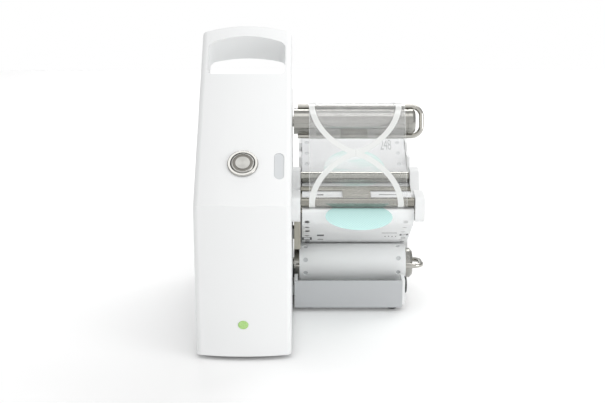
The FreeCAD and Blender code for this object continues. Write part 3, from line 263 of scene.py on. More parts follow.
# Black ABS keeps a low even shine, and rubber only a soft sheen on its edges.
black_abs, tree, shader = principled("black_abs", "17181A", 0.4)
grain(tree, shader, pitch=0.5, strength=0.15)
rubber, tree, shader = principled("black_rubber", "1B1B1C", 0.62)
grain(tree, shader, pitch=0.7, strength=0.2)
for node in ("floor_plate", "side_plate", "board_pillars", "motor_bracket", "wall_spacers"):
    dressed(node, zinc, edge=0.15)
dressed("rear_panel", moulded_white, edge=0.3)
dressed("panel_screws", zinc, edge=0.25)
dressed("power_socket", black_abs, edge=0.3)
dressed("foot_switch_socket", black_abs, edge=0.3)
dressed("rubber_feet", rubber, edge=0.5)


# Start button: a spun stainless cap in a ring polished like a mirror, square to the slope.
# The fine turning marks spread the light into rays on the cap, inside a dull blasted channel.
cap_low, cap_high = [Vector(corner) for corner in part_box("start_button")]
cap_middle = (cap_low + cap_high) / 2
# A wave texture of scale 1 repeats every 0.314 units.
WAVE_REPEAT = 0.314
MARK_DEPTH = 0.08


def turning_marks(tree, shader, middle, tilt, pitch, strength):
    """Rings cut by a lathe, centred on a place and square to a tilted axis.

    Their pitch in millimetres is coarser than the real one, which is too fine to show.
    """
    place = add(tree, "ShaderNodeTexCoord")
    moved = add(tree, "ShaderNodeVectorMath", {"operation": "SUBTRACT", 1: middle},
                {0: place.outputs["Object"]})
    turned = add(tree, "ShaderNodeMapping", {"vector_type": "POINT", "Rotation": (-tilt, 0, 0)},
                 {"Vector": moved.outputs[0]})
    rings = add(tree, "ShaderNodeTexWave",
                {"wave_type": "RINGS", "rings_direction": "Z",
                 "Scale": WAVE_REPEAT / (pitch * MM), "Distortion": 0.4},
                {"Vector": turned.outputs[0]})
    bump = add(tree, "ShaderNodeBump", {"Strength": strength, "Distance": MARK_DEPTH * MM},
               {"Height": rings.outputs["Fac"]})
    tree.links.new(bump.outputs[0], shader.inputs["Normal"])
    tree.links.new(moved.outputs[0], shader.inputs["Tangent"])


SLOPE = math.radians(40)
spun_cap, tree, shader = principled("spun_stainless", "B4B3AF", 0.34, 1.0, Anisotropic=0.85)
turning_marks(tree, shader, cap_middle, SLOPE, pitch=0.6, strength=0.12)
channel_grey, tree, shader = principled("blasted_stainless", "827F7A", 0.5, 1.0)
grain(tree, shader, pitch=0.2, strength=0.3)
bright_ring, tree, shader = principled("polished_stainless", "B6B5B1", 0.10, 1.0)
noise = grain(tree, shader, pitch=0.8, strength=0.03)
uneven(tree, shader, noise, 0.06, 0.14)
dressed("button_bezel", bright_ring, edge=0.35)

# The cap's face from its rim inwards: width and depth of each step, and its material's slot.
CHANNEL_STEPS = ((0.3, 0, 0), (0.1, -0.3, 1), (1.7, 0, 1), (0.1, 0.3, 1))


def turn_face(shape, node):
    """Cuts a shallow channel into the cap's face, just inside its rim."""
    outward = Vector((0, -math.sin(SLOPE), math.cos(SLOPE)))
    facing = [f for f in shape.faces if f.normal.dot(outward) > 0.99]
    face = max(facing, key=lambda f: f.calc_area())
    for width, depth, slot in CHANNEL_STEPS:
        ring = bmesh.ops.inset_region(shape, faces=[face], thickness=width * MM,
                                      depth=depth * MM, use_even_offset=True)["faces"]
        for ring_face in ring:
            ring_face.material_index = slot


button_cap = dressed("start_button", spun_cap, edge=0.2, work=turn_face)
button_cap.data.materials.append(channel_grey)
dressed("button_switch", black_abs, edge=0.3)


# Sensor window: a plate of smoked acrylic set flush in the slope, with its board behind.
# It reads as an even light grey, glossier than the paint around it.
smoked, tree, shader = principled("smoked_acrylic", "C6C9CB", 0.16, Coat_Weight=0.5,
                                  Coat_Roughness=0.05)
noise = grain(tree, shader, pitch=6.0, strength=0.03)
uneven(tree, shader, noise, 0.12, 0.2)
dressed("sensor_window", smoked, edge=0.2)
# Solder resist is a glossy dark green lacquer that rises a little over the tracks.
board, tree, shader = principled("green_solder_resist", "1F5C33", 0.3)
tracks = grain(tree, shader, pitch=2.0, strength=0.2)
uneven(tree, shader, tracks, 0.25, 0.4)
dressed("sensor_board", board)
dressed("circuit_board", board)


# Status lamp: a moulded polycarbonate lens, tinted light green and frosted inside, which
# gives a soft green dot with a paler rim.
lens, tree, shader = principled("frosted_green_polycarbonate", "A6D07B", 0.28, Coat_Weight=0.4,
                                Coat_Roughness=0.08)
FACET = 0.9
place = add(tree, "ShaderNodeTexCoord")
facets = add(tree, "ShaderNodeTexVoronoi", {"Scale": 1 / (FACET * MM)},
             {"Vector": place.outputs["Object"]})
tone = add(tree, "ShaderNodeMixRGB", {"Color1": linear("B7DB92"), "Color2": linear("9CC96E")},
           {"Fac": facets.outputs["Distance"]})
tree.links.new(tone.outputs[0], shader.inputs["Base Color"])
dressed("lamp_lens", lens, edge=0.4)


# Drive inside the housing: a gear motor on its bracket, an acetal gear, steel pinion and
# shaft, flat pulleys on the spool shafts and two rubber belts. Acetal is waxy and off-white,
# sintered bronze dull and brown, and ground steel bright with faint lines along the shaft.
acetal, tree, shader = principled("natural_acetal", "E4E0D6", 0.36)
grain(tree, shader, pitch=0.8, strength=0.1)
bronze, tree, shader = principled("sintered_bronze", "A98252", 0.42, 1.0)
grain(tree, shader, pitch=0.25, strength=0.3)
ground_steel, tree, shader = principled("ground_steel", "96958F", 0.24, 1.0)
noise = grain(tree, shader, pitch=0.35, strength=0.10, stretch=(0.03, 1, 1))
uneven(tree, shader, noise, 0.18, 0.32)
dressed("gear_motor", zinc, edge=0.4)
dressed("motor_pinion", ground_steel)
dressed("motor_shaft", ground_steel, edge=0.2)
dressed("drive_gear", acetal)
dressed("upper_pulley", acetal, edge=0.3)
dressed("lower_pulley", acetal, edge=0.3)
dressed("shaft_bushes", bronze, edge=0.2)
dressed("upper_belt", rubber)
dressed("lower_belt", rubber)


# Arms: two thick mouldings in white ABS that hold the rollers between them, with soft
# edges. The inner one is screwed to the housing and the outer one stands free.
dressed("inner_arm", moulded_white, edge=0.7)
dressed("outer_arm", moulded_white, edge=1.1)


# Carrier plate: a thick plate of steel, ground flat and left bare, that carries the peel
# table. Its upright grinding lines give it a broad dull shine.
bare_steel, tree, shader = principled("ground_flat_steel", "A8A59A", 0.36, 1.0)
noise = grain(tree, shader, pitch=0.6, strength=0.12, stretch=(1, 1, 0.05))
uneven(tree, shader, noise, 0.3, 0.46)
dressed("carrier_plate", bare_steel, edge=0.35)


# Peel table and hold-down plate: brushed stainless sheet, with the grain from side to
# side and a rounded front edge that the paper is drawn over. Brushing leaves it a dark
# satin sheen.
brushed, tree, shader = principled("brushed_stainless", "85837A", 0.27, 1.0)
noise = grain(tree, shader, pitch=0.5, strength=0.06, stretch=(0.02, 1, 1))
uneven(tree, shader, noise, 0.22, 0.34)
dressed("peel_table", brushed)
dressed("hold_down_plate", brushed, edge=0.12)


# Rollers: the drive roller is moulded in grey nitrile rubber and ground, the others are
# turned from steel rod and run in the arms. Nitrile is dull and dark, turned rod has fine
# rings that spread the light along it, and the polished peel rod is almost a mirror.
nitrile, tree, shader = principled("ground_nitrile_rubber", "4A4A4B", 0.7)
grain(tree, shader, pitch=0.4, strength=0.25)
turned_steel, tree, shader = principled("turned_stainless_rod", "A9A9A2", 0.22, 1.0)
noise = grain(tree, shader, pitch=0.45, strength=0.03, stretch=(1, 0.12, 0.12))
uneven(tree, shader, noise, 0.16, 0.3)
dressed("drive_roller", nitrile, edge=0.2)
dressed("drive_axle", ground_steel, edge=0.3)
dressed("hold_down_roller", turned_steel, edge=0.4)
polished_rod, tree, shader = principled("polished_rod", "94928A", 0.12, 1.0)
noise = grain(tree, shader, pitch=0.8, strength=0.03, stretch=(0.1, 1, 1))
uneven(tree, shader, noise, 0.1, 0.16)
dressed("peel_rod", polished_rod, edge=0.4)
dressed("rear_roller", turned_steel, edge=0.4)


# Filter strip: paper of two plies, the upper one with sprocket holes along both edges. It
# is drawn from the stack over the rear roller, under the hold-down roller and to the table.
# The paper is an even soft white that lets some light through, and its liner is painted greyer as
# shade in the holes.
STRIP_THICK = 0.4
PLY_THICK = 0.19
RUN_GAP = 0.25
HOLE_PITCH = 12.7
HOLE_RADIUS = 1.8
# The two lines of holes, across from the strip's middle.
HOLE_LINES = (-36.4, 34.4)
STRIP_FIRST_HOLE = 14.3
STRIP_OVER_TABLE = 0.5
BEND_STEP = 5


def box_of(node):
    """The low and the high corner of a CAD node's box, in millimetres."""
    return [Vector(corner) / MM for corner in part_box(node)]


def round_of(node):
    """A roller's axis and radius in millimetres, from its box: Y, Z and radius."""
    low, high = box_of(node)
    middle = (low + high) / 2
    return middle.y, middle.z, (high.z - low.z) / 2


def led_path(stops):
    """A line led from circle to circle, as places of length, Y and Z in millimetres.

    A stop is Y, Z, radius and side: 1 where the circle is left of the line, -1 right.
    """
    runs = []
    for (y1, z1, radius1, side1), (y2, z2, radius2, side2) in zip(stops, stops[1:]):
        reach = math.hypot(y2 - y1, z2 - z1)
        lean = math.asin((side2 * radius2 - side1 * radius1) / reach)
        angle = math.atan2(z2 - z1, y2 - y1) - lean
        out = Vector((math.sin(angle), -math.cos(angle)))
        start = Vector((y1, z1)) + out * side1 * radius1
        end = Vector((y2, z2)) + out * side2 * radius2
        runs.append((start, end, angle))
    places = []
    for index, (start, end, angle) in enumerate(runs):
        places += [start, end]
        if index + 1 < len(runs):
            y, z, radius, side = stops[index + 1]
            turn = (runs[index + 1][2] - angle) % math.tau
            if side < 0:
                turn -= math.tau
            count = max(1, round(abs(turn) / math.radians(BEND_STEP)))
            for step in range(1, count):
                way = angle + turn * step / count
                places.append(Vector((y + side * radius * math.sin(way),
                                      z - side * radius * math.cos(way))))
    path = [(0.0, places[0])]
    for spot in places[1:]:
        run = (spot - path[-1][1]).length
        if run > NO_LENGTH:
            path.append((path[-1][0] + run, spot))
    return path


def laid(shape, path, above=0.0):
    """Bends a flat shape, with X across and Y along, on to a path, and keeps its flat UV."""
    low = min(v.co.y for v in shape.verts)
    high = max(v.co.y for v in shape.verts)
    for bend, _ in path[1:-1]:
        if low < bend * MM < high:
            bmesh.ops.bisect_plane(shape, geom=shape.verts[:] + shape.edges[:] + shape.faces[:],
                                   plane_co=(0, bend * MM, 0), plane_no=(0, 1, 0))
    flat = shape.loops.layers.uv.new("flat")
    for face in shape.faces:
        for loop in face.loops:
            loop[flat].uv = loop.vert.co.xy
    for vert in shape.verts:
        along = vert.co.y / MM
        index = max(i for i, (length, _) in enumerate(path[:-1]) if length <= along + 1e-6)
        (start, from_spot), (end, to_spot) = path[index], path[index + 1]
        spot = from_spot.lerp(to_spot, (along - start) / (end - start))
        ahead = (to_spot - from_spot).normalized()
        spot += Vector((-ahead.y, ahead.x)) * (above + vert.co.z / MM)
        vert.co = Vector((vert.co.x, spot.x * MM, spot.y * MM))


def sheet_shape(path, left, right, holes=()):
    """A flat sheet as long as its path, with round holes."""
    shape = bmesh.new()
    length = path[-1][0] * MM
    corners = [shape.verts.new((x, y, 0)) for x, y in
               ((left * MM, 0), (right * MM, 0), (right * MM, length), (left * MM, length))]
    for index in range(4):
        shape.edges.new((corners[index - 1], corners[index]))
    for x, y in holes:
        bmesh.ops.create_circle(shape, cap_ends=False, segments=20, radius=HOLE_RADIUS * MM,
                                matrix=Matrix.Translation((x * MM, y * MM, 0)))
    bmesh.ops.triangle_fill(shape, use_beauty=True, use_dissolve=False, edges=shape.edges,
                            normal=(0, 0, 1))
    return shape


def lets_light_through(tree, shader, share):
    """Lets a share of the light that falls on the paper's back come through."""
    through = add(tree, "ShaderNodeBsdfTranslucent", {"Color": linear("F2F3F3")})
    both = add(tree, "ShaderNodeMixShader", {0: share},
               {1: shader.outputs[0], 2: through.outputs[0]})
    tree.links.new(both.outputs[0], tree.nodes["Material Output"].inputs["Surface"])


def thick(piece, thickness):
    """Gives a sheet its thickness, half to each side."""
    wall = piece.modifiers.new("thickness", "SOLIDIFY")
    wall.thickness = thickness * MM
    wall.offset = 0


def hole_rows(length, first, middle):
    """Places of the sprocket holes along both edges."""
    count = int((length - first - 2 * HOLE_RADIUS) / HOLE_PITCH) + 1
    return [(middle + line, first + HOLE_PITCH * index)
            for line in HOLE_LINES for index in range(count)]


strip_low, strip_high = box_of("filter_strip")
strip_left, strip_right = strip_low.x, strip_high.x
strip_middle = (strip_left + strip_right) / 2
table_low, table_high = box_of("peel_table")
TABLE_THICK = 3.0
nose_y = table_low.y + TABLE_THICK / 2
nose_top = table_low.z + TABLE_THICK
table_rise = (table_high.z - nose_top) / (table_high.y - nose_y)


def table_at(y):
    """Height of the peel table's top at a place along it."""
    return nose_top + table_rise * (y - nose_y)


half = STRIP_THICK / 2
rear_y, rear_z, rear_radius = round_of("rear_roller")
hold_y, hold_z, hold_radius = round_of("hold_down_roller")
over_rear = rear_radius + RUN_GAP + half
under_hold = hold_radius + RUN_GAP + half
strip_path = led_path([
    (rear_y + over_rear, strip_low.z, 0, 1), (rear_y, rear_z, over_rear, 1),
    (hold_y, hold_z, under_hold, -1),
    (strip_low.y, table_at(strip_low.y) + STRIP_OVER_TABLE, 0, 1)])
strip_paper, tree, shader = principled("laminated_paper", "F3F4F5", 0.5, Specular_IOR_Level=0.3)
noise = grain(tree, shader, pitch=1.5, strength=0.08, detail=4.0)
uneven(tree, shader, noise, 0.42, 0.58)
lets_light_through(tree, shader, 0.2)
strip_length = strip_path[-1][0]
# Painted shade: the liner and the roll's inner turns are greyer so that the holes read darker.
shade_grey_paper, tree, shader = principled("inner_paper_painted_shade", "D3D5D6", 0.7)
noise = grain(tree, shader, pitch=1.5, strength=0.08, detail=4.0)
uneven(tree, shader, noise, 0.62, 0.8)
strip_holes = hole_rows(strip_length, STRIP_FIRST_HOLE, strip_middle)
for name, paper, side, holes in (("punched_ply", strip_paper, -1, strip_holes),
                                 ("liner_ply", shade_grey_paper, 1, ())):
    shape = sheet_shape(strip_path, strip_left, strip_right, holes)
    laid(shape, strip_path, above=side * STRIP_THICK / 4)
    thick(finished(name, shape, paper, BODY_OF["filter_strip"], "filter_strip"), PLY_THICK)


# Next filter: the disc that follows the offered one, welded in under the strip's clear
# cover. It shows as a pale glossy tint, with paler streaks painted in as painted glare
# where the cover throws the light back.
NEXT_BEHIND_EDGE = 60.0
NEXT_THICK = 0.06
# Lifts are measured from the middle of the strip's thickness.
NEXT_LIFT = 0.24
disc_low, disc_high = box_of("filter_disc")
shape = bmesh.new()
bmesh.ops.create_circle(
    shape, cap_ends=True, segments=72, radius=(disc_high.x - disc_low.x) / 2 * MM,
    matrix=Matrix.Translation((strip_middle * MM, (strip_length - NEXT_BEHIND_EDGE) * MM, 0)))
laid(shape, strip_path, above=-NEXT_LIFT)
covered_membrane, tree, shader = principled("membrane_under_film", "DCEEEA", 0.4,
                                            Coat_Weight=0.5, Coat_Roughness=0.1)
noise = grain(tree, shader, pitch=11.0, strength=0.1, stretch=(0.3, 1, 1), depth=0.2)
# Paler streaks in the tint are painted glare from the clear cover.
painted_glare_streaks = add(tree, "ShaderNodeMapRange", {"From Min": 0.42, "From Max": 0.58},
              {"Value": noise.outputs["Fac"]})
tone = add(tree, "ShaderNodeMixRGB", {"Color1": linear("D2EAE5"), "Color2": linear("EDF2F2")},
           {"Fac": painted_glare_streaks.outputs[0]})
tree.links.new(tone.outputs[0], shader.inputs["Base Color"])
thick(finished("next_filter", shape, covered_membrane, BODY_OF["filter_strip"]), NEXT_THICK)


# Number on the strip: a plain count of the filters left, printed on the upper ply in matt
# light grey ink. It follows the strip's bends.
NUMBER_HEIGHT = 13.0
NUMBER_WIDTH = 8.9
NUMBER_ALONG = 61.0
NUMBER_ACROSS = 20.7
NUMBER_LIFT = 0.22
# A digit of Blender's own type stands 0.73 of its nominal size high.
DIGIT_SHARE = 0.73
letters = bpy.data.curves.new("count", "FONT")
letters.body = "248"
letters.size = NUMBER_HEIGHT * MM / DIGIT_SHARE
letters.space_character = 0.92
letters.resolution_u = 3
holder = bpy.data.objects.new("count", letters)
scene.collection.objects.link(holder)
evaluated = holder.evaluated_get(bpy.context.evaluated_depsgraph_get())
flat_print = bpy.data.meshes.new_from_object(evaluated)
bpy.data.objects.remove(holder)
shape = bmesh.new()
shape.from_mesh(flat_print)
reach = max(v.co.x for v in shape.verts)
for vert in shape.verts:
    vert.co.x = (strip_middle + NUMBER_ACROSS) * MM + vert.co.x * NUMBER_WIDTH * MM / reach
    vert.co.y = NUMBER_ALONG * MM - vert.co.y
    vert.co.z = -NUMBER_LIFT * MM
bmesh.ops.reverse_faces(shape, faces=shape.faces)
laid(shape, strip_path)
grey_ink, tree, shader = principled("light_grey_ink", "AFB1B2", 0.5)
grain(tree, shader, pitch=0.5, strength=0.1)
finished("strip_number", shape, grey_ink, BODY_OF["filter_strip"])


# Film: clear polyester, peeled off round the rod and led up over the upper spool. The
# welds that held each filter stay on it as matt white rings that meet between filters.
FILM_THICK = 0.15
FILM_SWEEP = 13.65
FILM_LEAVES = math.radians(65)
FILM_OVER_TABLE = 0.3
STRIP_GAP = 0.4
RUN_ON = 0.5
WELD_PITCH = 76.2
WELD_FIRST = 8.5
WELD_SHIFT = -1.3
# A weld's outline outside and inside: half of its width, and half of its length.
WELD_OUTSIDE = (33.8, 40.0)
WELD_INSIDE = (29.5, 35.5)
WELD_ROUNDING = 0.75
WELD_BLUR = 0.3
WELD_OPACITY = 0.95
# Painted glint along the film's cut edges: where it starts from the middle, and its opacity.
GLINT_FROM_MIDDLE = 34.65
GLINT_OPACITY = 0.55
peel_y, peel_z, peel_radius = round_of("peel_rod")
spool_y, upper_z, _ = round_of("upper_spool")
film_low, film_high = box_of("film_web")
around_rod = peel_radius + RUN_GAP + FILM_THICK / 2
film_start = strip_low.y - STRIP_GAP


def leaving(y, z, sweep, angle):
    """A last stop just past the place where a web meets its roll."""
    return (y + sweep * math.cos(angle) + RUN_ON * math.sin(angle),
            z + sweep * math.sin(angle) - RUN_ON * math.cos(angle), 0, 1)


film_path = led_path([
    (film_start, table_at(film_start) + FILM_OVER_TABLE + STRIP_THICK - FILM_THICK / 2, 0, 1),
    (peel_y, peel_z, around_rod, -1), (spool_y, upper_z, FILM_SWEEP, -1),
    leaving(spool_y, upper_z, FILM_SWEEP, FILM_LEAVES)])


def chain(tree, start, *steps):
    """Puts a value through a row of Math steps, each an operation and its second input."""
    value = start
    for operation, second in steps:
        settings = {"operation": operation}
        links = {0: value}
        if isinstance(second, (int, float)):
            settings[1] = second
        else:
            links[1] = second
        value = add(tree, "ShaderNodeMath", settings, links).outputs[0]
    return value


def clear_film(name, haze_and_glare, welds):
    """Film that mostly shows what is behind it, shines at low angles and may bear welds; its cloudy
    white patches are slight haze and painted glare.
    """
    material, tree = empty_material(name)
    shader = add(tree, "ShaderNodeBsdfPrincipled",
                 {"Base Color": linear("E3E4E2"), "Roughness": 0.4})
    # Cloudy white patches of opacity: slight haze and painted glare.
    glare_clouds = grain(tree, shader, pitch=14.0, strength=0.6, stretch=(1, 1, 0.5), depth=0.4,
                   detail=1.0)
    opacity = chain(tree, glare_clouds.outputs["Fac"], ("MULTIPLY", 2 * haze_and_glare))
    if welds:
        flat = add(tree, "ShaderNodeUVMap", {"uv_map": "flat"})
        split = add(tree, "ShaderNodeSeparateXYZ", links={0: flat.outputs[0]})
        across = chain(tree, split.outputs["X"],
                       ("SUBTRACT", (strip_middle + WELD_SHIFT) * MM), ("ABSOLUTE", 0))
        along = chain(tree, split.outputs["Y"], ("SUBTRACT", (WELD_FIRST - WELD_PITCH / 2) * MM),
                      ("FLOORED_MODULO", WELD_PITCH * MM), ("SUBTRACT", WELD_PITCH / 2 * MM),
                      ("ABSOLUTE", 0))
        sides = []
        for half_width, half_length in (WELD_OUTSIDE, WELD_INSIDE):
            share = chain(tree, along, ("DIVIDE", half_length * MM), ("MINIMUM", 1.0),
                          ("POWER", 2.0))
            rest = add(tree, "ShaderNodeMath", {"operation": "SUBTRACT", 0: 1.0}, {1: share})
            width = chain(tree, rest.outputs[0], ("POWER", WELD_ROUNDING),
                          ("MULTIPLY", half_width * MM))
            inside = chain(tree, width, ("SUBTRACT", across), ("DIVIDE", WELD_BLUR * MM),
                           ("ADD", 0.5))
            sides.append(chain(tree, inside, ("MAXIMUM", 0.0), ("MINIMUM", 1.0)))
        weld = chain(tree, sides[0], ("SUBTRACT", sides[1]), ("MAXIMUM", 0.0))
        # Thin half-white lines along both cut edges are painted glint.
        edge = chain(tree, split.outputs["X"], ("SUBTRACT", strip_middle * MM), ("ABSOLUTE", 0))
        painted_edge_glint = chain(tree, edge, ("GREATER_THAN", GLINT_FROM_MIDDLE * MM),
                    ("MULTIPLY", GLINT_OPACITY))
        white = chain(tree, weld, ("MULTIPLY", WELD_OPACITY))
        opacity = chain(tree, opacity, ("MAXIMUM", white), ("MAXIMUM", painted_edge_glint))
    tree.links.new(opacity, shader.inputs["Alpha"])
    # A clear sheet mirrors 8 parts in 100 face on, and nearly all at low angles.
    mirror = add(tree, "ShaderNodeBsdfGlossy", {"Color": (1, 1, 1, 1), "Roughness": 0.05})
    edge_on = add(tree, "ShaderNodeLayerWeight", {"Blend": 0.5})
    shine = chain(tree, edge_on.outputs["Facing"], ("POWER", 5.0), ("MULTIPLY", 0.9), ("ADD", 0.08))
    both = add(tree, "ShaderNodeMixShader", links={0: shine, 1: shader.outputs[0],
                                                   2: mirror.outputs[0]})
    add(tree, "ShaderNodeOutputMaterial", links={"Surface": both.outputs[0]})
    return material


welded_film = clear_film("welded_polyester_film", haze_and_glare=0.10, welds=True)
shape = sheet_shape(film_path, film_low.x, film_high.x)
laid(shape, film_path)
finished("peeled_film", shape, welded_film, BODY_OF["film_web"], "film_web")
wound_film = clear_film("wound_polyester_film", haze_and_glare=0.08, welds=False)
dressed("film_roll", wound_film)


# Backing paper: drawn over the table's front edge, down and back to the lower spool, with
# the same sprocket holes and a few plain register marks in dark grey ink. It is matt and
# whiter than the strip.
PAPER_THICK = 0.25
PAPER_OVER_TABLE = 0.15
PAPER_FIRST_HOLE = 16.8
PAPER_SWEEP = 15.25
PAPER_FOLD = 11.0
PAPER_FALL = math.radians(32.5)
PAPER_LEAVES = math.radians(-20)
NOSE_GAP = 0.1
paper_around = TABLE_THICK / 2 + NOSE_GAP + PAPER_THICK / 2
lower_y, lower_z, lower_radius = round_of("lower_spool")
fold_y = nose_y - paper_around + PAPER_FOLD
fold_reach = PAPER_SWEEP + PAPER_FOLD + (lower_y - fold_y) * math.sin(PAPER_FALL)
fold_z = lower_z + fold_reach / math.cos(PAPER_FALL)
paper_path = led_path([
    (film_start, table_at(film_start) + PAPER_OVER_TABLE + PAPER_THICK / 2, 0, 1),
    (nose_y, nose_top - TABLE_THICK / 2, paper_around, 1), (fold_y, fold_z, PAPER_FOLD, 1),
    (lower_y, lower_z, PAPER_SWEEP, -1),
    leaving(lower_y, lower_z, PAPER_SWEEP, PAPER_LEAVES)])
backing, tree, shader = principled("coated_backing_paper", "FBFCFC", 0.7, Specular_IOR_Level=0.15)
noise = grain(tree, shader, pitch=1.2, strength=0.08, detail=4.0)
uneven(tree, shader, noise, 0.62, 0.8)
lets_light_through(tree, shader, 0.15)
paper_length = paper_path[-1][0]
paper_holes = hole_rows(paper_length, PAPER_FIRST_HOLE, strip_middle)
shape = sheet_shape(paper_path, strip_left, strip_right, paper_holes)
laid(shape, paper_path)
thick(finished("backing_paper", shape, backing, BODY_OF["paper_web"], "paper_web"), PAPER_THICK)

# Each mark's place across from the web's middle and along it, its width and its length.
PAPER_MARKS = [
    (-36.0, 39.5, 3.0, 2.6), (-39.3, 63.5, 1.3, 8.4), (-33.4, 63.5, 1.3, 8.4),
    (-36.3, 59.8, 4.6, 1.4), (-36.3, 67.2, 4.6, 1.4), (-36.0, 70.9, 3.4, 2.0),
    (-36.2, 75.0, 3.0, 1.6), (-26.3, 53.3, 5.2, 4.6), (-26.2, 65.7, 4.2, 1.6),
    (24.6, 46.0, 11.3, 1.4), (33.4, 51.4, 1.4, 4.6), (38.2, 50.7, 1.3, 4.6),
    (35.9, 49.6, 2.8, 1.3), (36.0, 61.3, 3.4, 1.8), (36.3, 72.4, 3.0, 1.8)]
PAPER_MARKS += [(22.2 + 2.6 * index, 56.4, 0.9, 2.2) for index in range(4)]
STRIP_MARKS = [(-26.7, 124.2, 4.8, 2.4), (22.7, 123.7, 12.5, 1.3)]
INK_GAP = 0.03


def printed(name, marks, path, above, ink, body):
    """Small printed blocks, laid along a web just clear of its face."""
    shape = bmesh.new()
    for across, along, width, length in marks:
        middle = Matrix.Translation(((strip_middle + across) * MM, along * MM, 0))
        size = Matrix.Diagonal((width * MM, length * MM, 1, 1))
        bmesh.ops.create_grid(shape, x_segments=1, y_segments=1, size=0.5, matrix=middle @ size)
    laid(shape, path, above)
    finished(name, shape, ink, body)


dark_ink, tree, shader = principled("dark_grey_ink", "58595A", 0.5)
grain(tree, shader, pitch=0.5, strength=0.1)
printed("register_marks", PAPER_MARKS, paper_path, -PAPER_THICK / 2 - INK_GAP, dark_ink,
        BODY_OF["paper_web"])
printed("strip_marks", STRIP_MARKS, strip_path, -STRIP_THICK / 2 - INK_GAP, dark_ink,
        BODY_OF["filter_strip"])


# Filter: a disc of mixed cellulose ester membrane in pale mint, embossed with a fine
# diagonal lattice that shows a little lighter. It is dull, like unglazed china.
LATTICE_PITCH = 1.7
LATTICE_ANGLE = math.radians(57)
LATTICE_DEPTH = 0.05
membrane, tree, shader = principled("cellulose_ester_membrane", "B5E3DD", 0.75)
place = add(tree, "ShaderNodeTexCoord")
ribs = []
for turn in (LATTICE_ANGLE, -LATTICE_ANGLE):
    turned = add(tree, "ShaderNodeMapping", {"Rotation": (0, 0, turn)},
                 {"Vector": place.outputs["Object"]})
    ribs.append(add(tree, "ShaderNodeTexWave",
                    {"bands_direction": "Y", "Scale": WAVE_REPEAT / (LATTICE_PITCH * MM)},
                    {"Vector": turned.outputs[0]}))
lattice = add(tree, "ShaderNodeMath", {"operation": "MAXIMUM"},
              {0: ribs[0].outputs["Fac"], 1: ribs[1].outputs["Fac"]})
tone = add(tree, "ShaderNodeMixRGB", {"Color1": linear("B0DBD7"), "Color2": linear("CBEDEA")},
           {"Fac": lattice.outputs[0]})
tree.links.new(tone.outputs[0], shader.inputs["Base Color"])
bump = add(tree, "ShaderNodeBump", {"Strength": 0.3, "Distance": LATTICE_DEPTH * MM},
           {"Height": lattice.outputs[0]})
tree.links.new(bump.outputs[0], shader.inputs["Normal"])
dressed("filter_disc", membrane)


# Take-up spools: stainless tube with two turned rings near the open end, and grooves for
# the legs of the clip. The turning leaves fine rings that spread the light along it.
spool_steel, tree, shader = principled("turned_stainless_tube", "A7A6A1", 0.26, 1.0)
noise = grain(tree, shader, pitch=0.5, strength=0.02, stretch=(1, 0.1, 0.1))
uneven(tree, shader, noise, 0.2, 0.26)
# The rings' places, measured back from the open end.
GROOVES = (5.4, 10.4)
GROOVE_WIDTH = 0.7
GROOVE_DEPTH = 0.3
GROOVE_SIDE = 0.1
TUBE_SKIN = 1.0


def turn_grooves(shape, node):
    """Cuts two narrow rings into a spool, near its open end."""
    open_end = box_of(node)[1].x
    y, z, radius = round_of(node)
    for back in GROOVES:
        far = open_end - back
        near = far - GROOVE_WIDTH
        for cut in (near, near + GROOVE_SIDE, far - GROOVE_SIDE, far):
            bmesh.ops.bisect_plane(shape, geom=shape.verts[:] + shape.edges[:] + shape.faces[:],
                                   plane_co=(cut * MM, 0, 0), plane_no=(1, 0, 0))
        for vert in shape.verts:
            out = Vector((vert.co.y - y * MM, vert.co.z - z * MM)) / MM
            in_groove = near + GROOVE_SIDE / 2 < vert.co.x / MM < far - GROOVE_SIDE / 2
            if in_groove and out.length > radius - TUBE_SKIN:
                out *= (out.length - GROOVE_DEPTH) / out.length
                vert.co.y = (y + out.x) * MM
                vert.co.z = (z + out.y) * MM


dressed("upper_spool", spool_steel, edge=0.3, work=turn_grooves)
dressed("lower_spool", spool_steel, edge=0.3, work=turn_grooves)


# Clips: hairpins of polished spring wire that slide into the spools' grooves and trap the
# start of the film or the paper. The loop outside is pulled to free the full spool, and
# the polish makes the wire mirror the room in long bright and dark lines.
spring_wire, tree, shader = principled("polished_spring_wire", "B9B7B1", 0.10, 1.0)
noise = grain(tree, shader, pitch=1.5, strength=0.04)
uneven(tree, shader, noise, 0.07, 0.15)
dressed("upper_clip", spring_wire)
dressed("lower_clip", spring_wire)


# Used paper on the lower spool: many turns wound tight over the clip, with the sprocket
# holes of the last turn still in sight.
COVER = 0.45
LAST_TURN = 0.9
TURN_GAP = 0.02
SPOOL_GAP = 0.1
SEAM_GAP = 0.01
# For each line of holes, its place across and the angles of its holes in degrees.
HOLE_ANGLES = ((-37.4, (60, 106, 152, 193, 239, 285)), (32.4, (55, 101, 147, 191, 236, 281)))
roll_low, roll_high = box_of("paper_roll")
legs_low, legs_high = box_of("lower_clip")
roll_y, roll_z, _ = round_of("paper_roll")
roll_radius = (legs_high.y - legs_low.y) / 2 + COVER


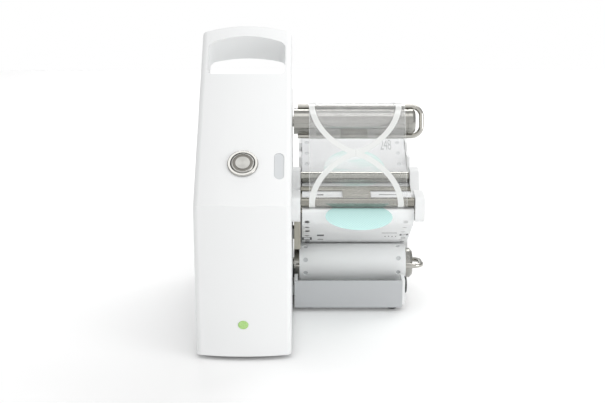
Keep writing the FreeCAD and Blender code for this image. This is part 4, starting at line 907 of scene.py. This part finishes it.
def wound(name, outside, thickness, holes, paper):
    """A sleeve of paper round the lower spool, inside a radius in millimetres."""
    radius = outside - thickness / 2
    path = [(0.0, Vector((roll_y + radius, roll_z)))]
    for step in range(1, 360 // BEND_STEP + 1):
        angle = math.radians(BEND_STEP * step)
        spot = Vector((roll_y + radius * math.cos(angle), roll_z + radius * math.sin(angle)))
        path.append((path[-1][0] + (spot - path[-1][1]).length, spot))
    places = [(strip_middle + line, path[-1][0] * angle / 360)
              for line, angles in holes for angle in angles]
    shape = sheet_shape(path, roll_low.x, roll_high.x, places)
    laid(shape, path)
    bmesh.ops.remove_doubles(shape, verts=shape.verts, dist=SEAM_GAP * MM)
    thick(finished(name, shape, paper, BODY_OF["paper_roll"], "paper_roll"), thickness)


inner_radius = roll_radius - LAST_TURN - TURN_GAP
# The inner turns are greyer as painted shade under the last turn's holes.
wound("inner_turns", inner_radius, inner_radius - lower_radius - SPOOL_GAP, (), shade_grey_paper)
wound("last_turn", roll_radius, LAST_TURN, HOLE_ANGLES, backing)


# Magazine, its folded stack and the tray: bent sheet in satin white paint, with a grey
# front panel that hides the lower spool's trough, and a black cap at the open end. The
# stack's folds show as fine level lines of painted shade between the leaves, drawn coarser
# than its 0.4 mm leaves to show at all.
LEAF_PITCH = 1.2
grey_paint, tree, shader = principled("satin_grey_paint", "BABCBE", 0.42)
noise = grain(tree, shader, pitch=0.9, strength=0.12)
uneven(tree, shader, noise, 0.36, 0.5)
dressed("magazine", white_paint, edge=0.4)
folded, tree, shader = principled("fan_folded_paper", "EDEEEE", 0.6)
place = add(tree, "ShaderNodeTexCoord")
# Darker bands are painted shade in the gaps between the folded leaves.
fold_shade_bands = add(tree, "ShaderNodeTexWave",
             {"bands_direction": "Z", "Scale": WAVE_REPEAT / (LEAF_PITCH * MM), "Distortion": 0.6},
             {"Vector": place.outputs["Object"]})
tone = add(tree, "ShaderNodeMixRGB", {"Color1": linear("D5D6D6"), "Color2": linear("F1F2F2")},
           {"Fac": fold_shade_bands.outputs["Fac"]})
tree.links.new(tone.outputs[0], shader.inputs["Base Color"])
dressed("strip_stack", folded, edge=0.3)
dressed("tray", white_paint, edge=0.3)
dressed("tray_front", grey_paint, edge=0.4)
dressed("side_cap", black_abs, edge=0.5)
